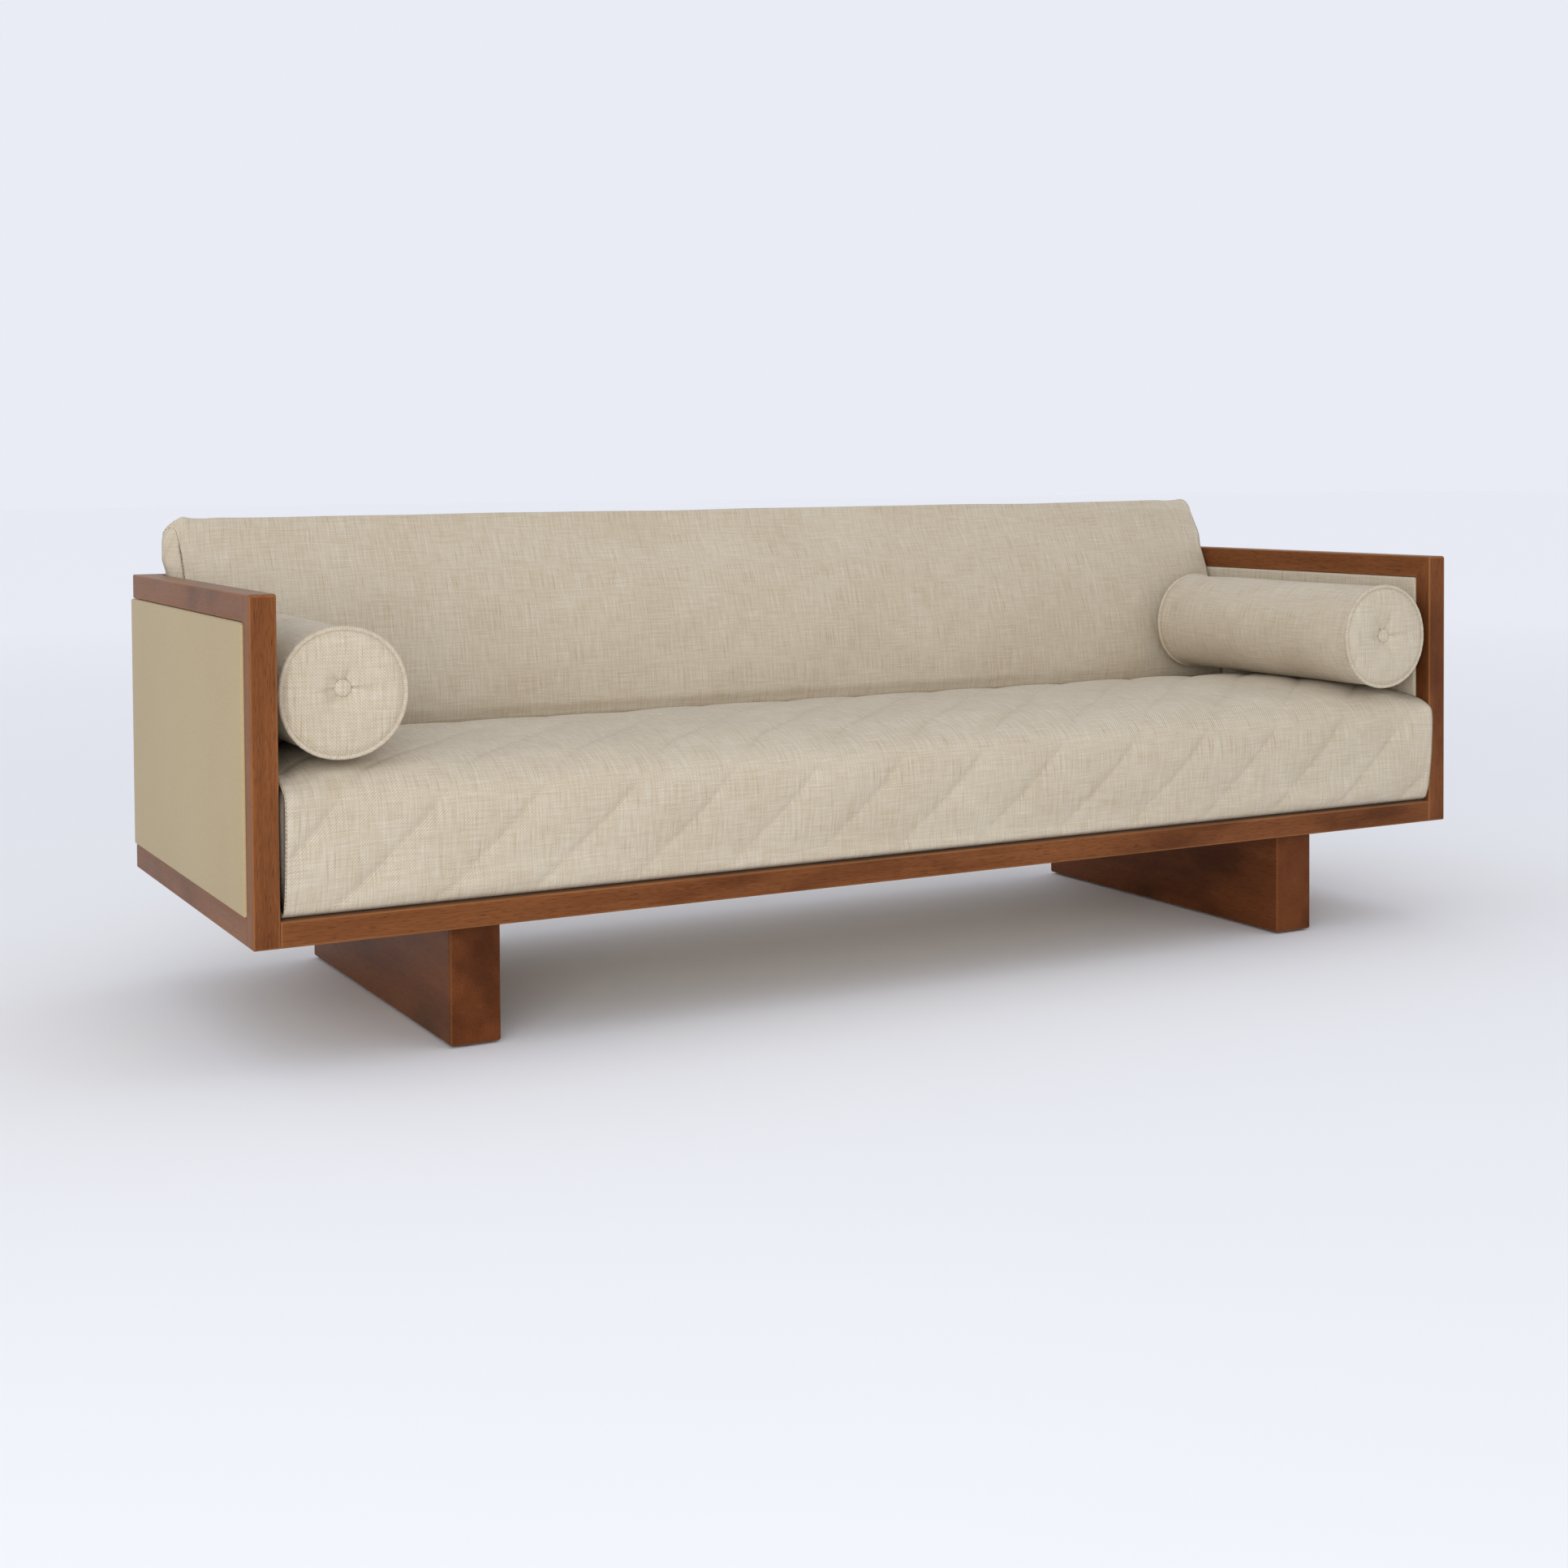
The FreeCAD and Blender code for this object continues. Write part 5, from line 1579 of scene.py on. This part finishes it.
@dataclass
class CoveredPanel:
    """A board's skin: a thin slab with its edges rolled over, slightly full in its middle."""

    node: str
    name: str
    finish: str
    roll: float = 0.0045
    full: float = 0.0009
    crown_reach: float = 0.05
    cell: float = 0.006
    span: float = 0.012
    roll_steps: int = 6
    face: Axis = Axis.X

    def build(self) -> None:
        """Make the skin and dress it."""
        low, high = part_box(self.node)
        across, along = (0, 1) if self.face is Axis.X else (1, 0)
        thick, width, tall = high[across] - low[across], high[along] - low[along], high[2] - low[2]
        centre = (np.array(low) + np.array(high)) / 2
        around_points = self.outline(thick, tall)
        count = len(around_points)
        quarter = np.linspace(0, np.pi / 2, self.roll_steps)
        inset = self.roll * (1 - np.sin(quarter))
        run = np.linspace(self.roll, width - self.roll, max(int(width / self.span), 8))
        start = self.roll * (1 - np.cos(quarter))[:-1]
        place = np.concatenate([start, run, width - start[::-1]])
        pull = np.concatenate([inset[:-1], np.zeros(len(run)), inset[:-1][::-1]])
        grid = np.empty((len(place), count, 3))
        limit = np.array([thick / 2, tall / 2])[None, None] - pull[:, None, None]
        outline = np.clip(np.broadcast_to(around_points, (len(place), count, 2)), -limit, limit)
        sign = 1.0 if across == 0 else -1.0
        crown = self.crown(place[:, None], outline[:, :, 1], width, tall)
        grid[:, :, across] = centre[across] + sign * (outline[:, :, 0] + np.sign(outline[:, :, 0]) * crown)
        grid[:, :, along] = low[along] + place[:, None]
        grid[:, :, 2] = centre[2] + outline[:, :, 1]
        reach = np.arange(count + 1) * self.cell
        piece = sewn_sleeve(self.name, grid, place, reach, 0, (along, 2))
        flip_if_inside_out(piece)
        piece.data.materials.append(self.dressed(low, high))
        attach(piece, "frame")
        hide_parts(self.node)
        log.info("%s: %d points", self.name, len(piece.data.vertices))

    def outline(self, thick: float, tall: float) -> Array:
        """A rectangle with rolled corners, in thickness and height, about its middle.

        Args:
            thick: the skin's thickness.
            tall: its height.

        Returns:
            The points, n by 2.
        """
        roll = min(self.roll, thick / 2 - 0.0003)
        arc = np.linspace(0, np.pi / 2, self.roll_steps)
        corners = []
        for x_sign, z_sign, first in ((1, 1, 0), (1, -1, 1), (-1, -1, 2), (-1, 1, 3)):
            turn = np.pi / 2 - (arc + first * np.pi / 2)
            x = x_sign * (thick / 2 - roll) + roll * np.cos(turn)
            z = z_sign * (tall / 2 - roll) + roll * np.sin(turn)
            corners.append(np.column_stack([x, z]))
        side = np.linspace(tall / 2 - roll, -(tall / 2 - roll), max(int(tall / self.span), 6))[1:-1]
        right = np.column_stack([np.full(len(side), thick / 2), side])
        left = np.column_stack([np.full(len(side), -thick / 2), side[::-1]])
        return np.vstack([corners[0], right, corners[1], corners[2], left, corners[3]])

    def crown(self, place: Array, z: Array, width: float, tall: float) -> Array:
        """How much fuller the skin stands in its middle than at its edges.

        It is the product of two eased rises, one from the nearer end and one from the
        nearer long edge.

        Args:
            place: the way along the panel.
            z: the height from its middle.
            width: the panel's width.
            tall: its height.

        Returns:
            The extra height.
        """
        from_end = np.minimum(place, width - place)
        from_edge = tall / 2 - np.abs(z)
        return self.full * ease(from_end, 0.0, self.crown_reach) * ease(from_edge, 0.0, self.crown_reach)

    def dressed(self, low: Vector, high: Vector) -> bpy.types.Material:
        """The skin's material, from its slot."""
        if self.finish == "linen":
            return Linen().make(f"{self.name}_linen", self.face)
        return Leatherette().make(f"{self.name}_leatherette", low, high)


def flip_if_inside_out(piece: bpy.types.Object) -> None:
    """Turn a closed mesh's faces round if its signed volume is less than nothing."""
    mesh = piece.data
    mesh.calc_loop_triangles()
    points = np.empty(len(mesh.vertices) * 3)
    mesh.vertices.foreach_get("co", points)
    corners = np.empty(len(mesh.loop_triangles) * 3, np.int32)
    mesh.loop_triangles.foreach_get("vertices", corners)
    a, b, c = points.reshape(-1, 3)[corners.reshape(-1, 3)].transpose(1, 0, 2)
    if np.einsum("ij,ij->i", a, np.cross(b, c)).sum() < 0:
        mesh.flip_normals()


@dataclass
class ZipRun:
    """A zip: its woven tape and the teeth along the tape's middle."""

    node: str
    body: str
    along: Axis
    pitch: float = 0.0025
    tooth: tuple[float, float, float] = (0.0015, 0.0012, 0.0046)

    def build(self) -> None:
        """Make the tape with its teeth and dress them."""
        low, high = (np.array(corner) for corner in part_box(self.node))
        centre = (low + high) / 2
        out = 1 if self.along is Axis.X else 0
        away = 1.0 if out == 1 else float(np.sign(centre[0]) or 1.0)
        tape = self.strip(low, high)
        count = int((high - low)[self.along.value] / self.pitch) - 2
        place = low[self.along.value] + self.pitch * (1.5 + np.arange(count))
        shape = self.one_tooth()
        sizes = np.zeros(3)
        sizes[self.along.value], sizes[out], sizes[2] = self.tooth
        spots = np.tile(centre, (count, 1))
        spots[:, self.along.value] = place
        spots[:, 2] += np.where(np.arange(count) % 2, 0.0007, -0.0007)
        spots[:, out] = (high if away > 0 else low)[out] + away * self.tooth[1] * 0.35
        points = (spots[:, None] + shape[0][None] * sizes / 2).reshape(-1, 3)
        faces = (np.arange(count)[:, None, None] * len(shape[0]) + shape[1][None]).reshape(-1, 4)
        teeth = new_piece(f"{self.node}_teeth", points, faces)
        flip_if_inside_out(teeth)
        teeth.data.polygons.foreach_set("use_smooth", np.zeros(len(faces), bool))
        tape.data.materials.append(ZIP_CLOTH.make(f"{self.node}_tape_cloth"))
        teeth.data.materials.append(ZIP_METAL.make(f"{self.node}_teeth_metal"))
        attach(tape, self.body)
        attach(teeth, self.body)
        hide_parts(self.node)
        log.info("%s: %d teeth", self.node, count)

    def strip(self, low: Array, high: Array) -> bpy.types.Object:
        """The tape, a thin slab with a low ridge along each edge of the teeth's gap.

        Args:
            low: its lowest corner.
            high: its highest corner.

        Returns:
            The piece.
        """
        out = 1 if self.along is Axis.X else 0
        half = (high - low) / 2
        centre = (low + high) / 2
        rows, across = 60, 21
        t = np.linspace(-1, 1, across)
        lip = 0.0002 * (bell(np.abs(t) - 0.35, 0.08) - bell(t, 0.1))
        outer = np.column_stack([half[out] - 0.0002 + lip, t[::-1] * half[2]])
        inner = np.column_stack([np.full(across, -half[out]), t * half[2]])
        ring = np.vstack([outer, inner])
        grid = np.empty((rows, len(ring), 3))
        way = self.along.value
        grid[:, :, way] = np.linspace(low[way], high[way], rows)[:, None]
        grid[:, :, out] = centre[out] + ring[:, 0]
        grid[:, :, 2] = centre[2] + ring[:, 1]
        reach = np.arange(len(ring) + 1) * 0.001
        made = sewn_sleeve(f"{self.node}_tape", grid, grid[:, 0, way], reach, 0, (out, 2))
        flip_if_inside_out(made)
        return made

    def one_tooth(self) -> tuple[Array, Array]:
        """A block with its four outer edges cut back, two units on a side.

        Returns:
            Its points and its faces.
        """
        square = np.array(
            [(-1, -0.7), (-0.7, -1), (0.7, -1), (1, -0.7), (1, 0.7), (0.7, 1), (-0.7, 1), (-1, 0.7)]
        )
        rings = [np.column_stack([s[:, 0], np.full(8, h), s[:, 1]]) for s, h in
                 ((square, -1.0), (square, 0.5), (square * 0.7, 1.0))]
        caps = np.array([[0, 1, 2, 3], [0, 3, 4, 7], [4, 5, 6, 7]])
        top = caps + 16
        return np.vstack(rings), np.vstack([sleeve_faces(3, 8)[:, ::-1], caps, top[:, ::-1]])


# ------------------------------------------------------------------- the frame

SEAM_THREAD = PlainStuff((0.30, 0.21, 0.12), (0.20, 0.13, 0.07), 0.8, grain=2500.0)
QUILT_THREAD = PlainStuff((0.62, 0.55, 0.42), (0.52, 0.44, 0.32), 0.8, grain=2500.0)
ZIP_CLOTH = PlainStuff((0.50, 0.43, 0.32), (0.40, 0.34, 0.25), 0.9, grain=2200.0, relief=0.0002)
ZIP_METAL = PlainStuff((0.52, 0.42, 0.26), (0.38, 0.30, 0.18), 0.32, metallic=1.0, grain=900.0)
STEEL = PlainStuff((0.62, 0.63, 0.64), (0.48, 0.49, 0.50), 0.34, metallic=1.0)
FELT = PlainStuff((0.20, 0.15, 0.11), (0.11, 0.08, 0.06), 0.98, grain=1500.0, relief=0.0006)

GRAINS = {
    "front_post": Axis.Z, "rear_stile": Axis.Z, "rear_studs": Axis.Z, "arm_top_rail": Axis.Y,
    "arm_bottom_rail": Axis.Y, "deck_slats": Axis.Y, "left_leg": Axis.Y, "right_leg": Axis.Y,
    "left_leg_beam": Axis.Y, "right_leg_beam": Axis.Y, "centre_beams": Axis.X, "arm_outer_board": Axis.Y,
    "arm_inner_board": Axis.Y,
}


@dataclass
class Frame:
    """The timber frame, its deck, legs and fasteners, all kept as the CAD has them."""

    stain: StainedTimber = field(default_factory=StainedTimber)
    # The legs take a darker copy of the frame's stain: painted shade, as they stand low in the shade under
    # the frame.
    leg_stain_painted_shade: StainedTimber = field(default_factory=lambda: StainedTimber(
        (0.166, 0.050, 0.014), (0.095, 0.026, 0.006), (0.034, 0.009, 0.003), (0.24, 0.088, 0.028)))
    deck: PaleTimber = field(default_factory=PaleTimber)
    board: PaleTimber = field(default_factory=lambda: PaleTimber((0.62, 0.47, 0.30), (0.46, 0.32, 0.18)))
    kept: tuple[str, ...] = ("stained_timber", "deck_timber", "plywood", "zinc_steel", "felt", "zip_metal")

    def dress(self) -> None:
        """Give every kept node the material of its slot, with the grain run its way."""
        for name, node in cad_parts.items():
            slot_name = node.data.materials[0].name.split(".")[0]
            if slot_name in self.kept:
                node.data.materials[0] = self.finish_for(name, slot_name)
                log.info("%s: dressed as %s", name, slot_name)

    def finish_for(self, node: str, slot_name: str) -> bpy.types.Material:
        """A node's material.

        Args:
            node: the node.
            slot_name: its slot.

        Returns:
            The material.
        """
        low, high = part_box(node)
        plain = node.removeprefix("left_").removeprefix("right_")
        grain = GRAINS.get(plain) or GRAINS.get(node) or Axis.X
        # The legs get the darker copy of the stain, which is painted shade.
        stain = self.leg_stain_painted_shade if "leg" in node else self.stain
        makers = {
            "stained_timber": lambda: stain.make(node, low, high, grain),
            "deck_timber": lambda: self.deck.make(node, grain),
            "plywood": lambda: self.board.make(node, grain),
            "zinc_steel": lambda: STEEL.make(node),
            "felt": lambda: FELT.make(node),
            "zip_metal": lambda: ZIP_METAL.make(node),
        }
        return makers[slot_name]()


@dataclass(frozen=True)
class Lamp:
    """A square area lamp: where it stands, what it faces, its side and its power."""

    name: str
    spot: tuple[float, float, float]
    aim: tuple[float, float, float]
    size: float
    power: float
    tint: Colour = (1.0, 0.985, 0.96)

    def hang(self) -> None:
        """Put the lamp into the scene, turned towards its aim."""
        data = bpy.data.lights.new(self.name, "AREA")
        data.size = self.size
        data.energy = self.power
        data.color = self.tint
        lamp = bpy.data.objects.new(self.name, data)
        lamp.location = self.spot
        facing = Vector(self.aim) - Vector(self.spot)
        lamp.rotation_euler = facing.to_track_quat("-Z", "Y").to_euler()
        bpy.context.scene.collection.objects.link(lamp)


@dataclass
class Studio:
    """The camera, a wide pale floor, and soft light from the front left and above."""

    eye: tuple[float, float, float] = (-1.8515, -3.2695, 0.8220)
    yaw: float = 28.406
    pitch: float = -1.664
    roll: float = -0.389
    focal: float = 2660.7
    middle: tuple[float, float] = (962.5, 662.3)
    image: float = 1932.0
    sensor: float = 36.0
    room: Colour = (0.8148, 0.8388, 0.9131)
    far_floor: Colour = (0.985, 0.985, 0.985)
    floor_fades: tuple[float, float] = (2.5, 9.0)
    lamps: tuple[Lamp, ...] = (
        Lamp("key", (-3.6, -5.0, 1.35), (0.0, 0.0, 0.45), 3.2, 148.0),
        Lamp("top", (0.2, -0.8, 3.8), (0.0, 0.0, 0.3), 3.0, 6.0),
    )

    def build(self) -> None:
        """Set up the camera, the floor and the lights."""
        self.camera()
        self.floor()
        self.lights()

    def camera(self) -> None:
        """Stand the camera at its place, turned by its three angles."""
        yaw, pitch, roll = (math.radians(a) for a in (self.yaw, self.pitch, self.roll))
        forward = Vector((math.sin(yaw) * math.cos(pitch), math.cos(yaw) * math.cos(pitch), math.sin(pitch)))
        right = Vector((math.cos(yaw), -math.sin(yaw), 0.0))
        up = right.cross(forward)
        level = math.cos(roll) * right + math.sin(roll) * up
        upright = -math.sin(roll) * right + math.cos(roll) * up
        data = bpy.data.cameras.new("camera")
        data.sensor_width = self.sensor
        data.lens = self.focal / self.image * self.sensor
        data.shift_x = 0.5 - self.middle[0] / self.image
        data.shift_y = self.middle[1] / self.image - 0.5
        data.clip_end = 200.0
        camera = bpy.data.objects.new("camera", data)
        turned = Matrix((level, upright, -forward)).transposed().to_4x4()
        camera.matrix_world = Matrix.Translation(self.eye) @ turned
        bpy.context.scene.collection.objects.link(camera)
        bpy.context.scene.camera = camera

    def floor(self) -> None:
        """A wide flat floor that fades, far off, into the room's own tone."""
        edge = np.array([-60.0, -12.0, -5.0, -2.0, 0.0, 2.0, 5.0, 12.0, 60.0])
        grid_x, grid_y = np.meshgrid(edge, edge, indexing="ij")
        points = np.stack([grid_x, grid_y, np.zeros_like(grid_x)], -1).reshape(-1, 3)
        count = len(edge)
        row, step = np.meshgrid(np.arange(count - 1), np.arange(count - 1), indexing="ij")
        at = row * count + step
        faces = np.stack([at, at + count, at + count + 1, at + 1], -1).reshape(-1, 4)
        floor = new_piece("studio_floor", points, faces)
        graph = Graph("studio_floor")
        place = graph.node("ShaderNodeTexCoord").outputs["Object"]
        tone = graph.noise(place, 1.5, 2.0)
        near = graph.blend(tone, (0.86, 0.86, 0.865), (0.88, 0.88, 0.885))
        x, y, _ = graph.split(place)
        squares = graph.math("ADD", graph.math("MULTIPLY", x, x), graph.math("MULTIPLY", y, y))
        away = graph.math("SQRT", squares)
        tone_there = graph.blend(graph.fit(away, *self.floor_fades), near, self.far_floor)
        graph.surface(base_color=tone_there, roughness=0.95)
        graph.shader.inputs["Specular IOR Level"].default_value = 0.1
        floor.data.materials.append(graph.material)

    def lights(self) -> None:
        """A bright even room, a broad low key from the front left and a weak lamp above."""
        world = bpy.data.worlds.new("studio")
        world.use_nodes = True
        background = world.node_tree.nodes["Background"]
        background.inputs["Color"].default_value = (*self.room, 1.0)
        background.inputs["Strength"].default_value = 1.0
        bpy.context.scene.world = world
        bpy.context.scene.view_settings.view_transform = "Standard"
        for lamp in self.lamps:
            lamp.hang()


# The cushions' outlines in millimetres, as pairs of y and z, each in order round its edge.
SEAT_END = [
    (329, 300), (328.5, 365), (320, 386), (300, 393), (260, 396), (203, 398), (150, 402), (80, 409),
    (0, 414.5), (-85, 417.5), (-170, 419), (-247, 417.5), (-289, 414.5), (-330, 409), (-352, 404),
    (-368, 397.5), (-379.5, 389), (-382.6, 376), (-382.8, 348), (-380.7, 303), (-376.7, 266),
    (-372.5, 242), (-364, 225), (-350, 218.2), (-320, 217.6), (-200, 217.4), (0, 217.4), (200, 217.4),
    (300, 217.6), (321, 221), (328, 236),
]
SEAT_MIDDLE = [
    (329, 300), (328.5, 375), (321, 394), (300, 401), (260, 402), (203, 402), (150, 410), (80, 419),
    (0, 425), (-85, 427), (-170, 426.5), (-247, 423), (-289, 419), (-330, 412.5), (-352, 405.5),
    (-368, 395), (-378, 379), (-382, 362), (-383, 340), (-381.5, 303), (-377.5, 266), (-372.5, 242),
    (-364, 225), (-350, 218.2), (-320, 217.6), (-200, 217.4), (0, 217.4), (200, 217.4), (300, 217.6),
    (321, 221), (328, 236),
]
BACK_FACE = [
    (203, 418), (205, 445), (210.8, 494.1), (223.6, 554.2), (242.4, 612.7), (267, 669), (292, 716),
    (303, 745), (312, 762),
]
BACK_UNDER = [
    (207, 405.5), (220, 402.6), (265, 402.4), (310, 402.8), (323, 406), (328.5, 418), (329, 480),
]
BACK_END = [
    (329, 580), (329, 700), (328.5, 748), (325, 762), (317, 767.5), (310, 763), (303, 747),
    *BACK_FACE[6::-1], *BACK_UNDER,
]
BACK_MIDDLE = [
    (329, 580), (329, 700), (328.5, 752), (325, 767), (317, 772.5), (310, 768), (303, 751),
    *BACK_FACE[6::-1], *BACK_UNDER,
]


def main() -> None:
    """Build and dress the daybed, one sub-assembly after another."""
    Studio().build()
    Frame().dress()
    seat_nodes = ("seat_cover", "seat_core")
    back_nodes = ("back_cover", "back_core")
    QuiltedSeat("seat_cushion_cover", "seat_cushion", seat_nodes, SEAT_END, SEAT_MIDDLE).build()
    BackCushion(
        "back_cushion_cover", "back_cushion", back_nodes, BACK_END, BACK_MIDDLE, corner=0.022
    ).build()
    for side in Side:
        Bolster(side).build()
        CoveredPanel(f"{side.word}_arm_outer_skin", f"{side.word}_outer_panel", "leatherette").build()
        CoveredPanel(f"{side.word}_arm_inner_skin", f"{side.word}_inner_panel", "linen").build()
        ZipRun(f"{side.word}_bolster_zip", f"{side.word}_bolster", Axis.Y).build()
    CoveredPanel("rear_outer_skin", "rear_outer_panel", "leatherette", face=Axis.Y).build()
    CoveredPanel("rear_inner_skin", "rear_inner_panel", "linen", face=Axis.Y).build()
    ZipRun("seat_zip", "seat_cushion", Axis.X).build()
    ZipRun("back_zip", "back_cushion", Axis.X).build()


if __name__ == "__main__":
    main()
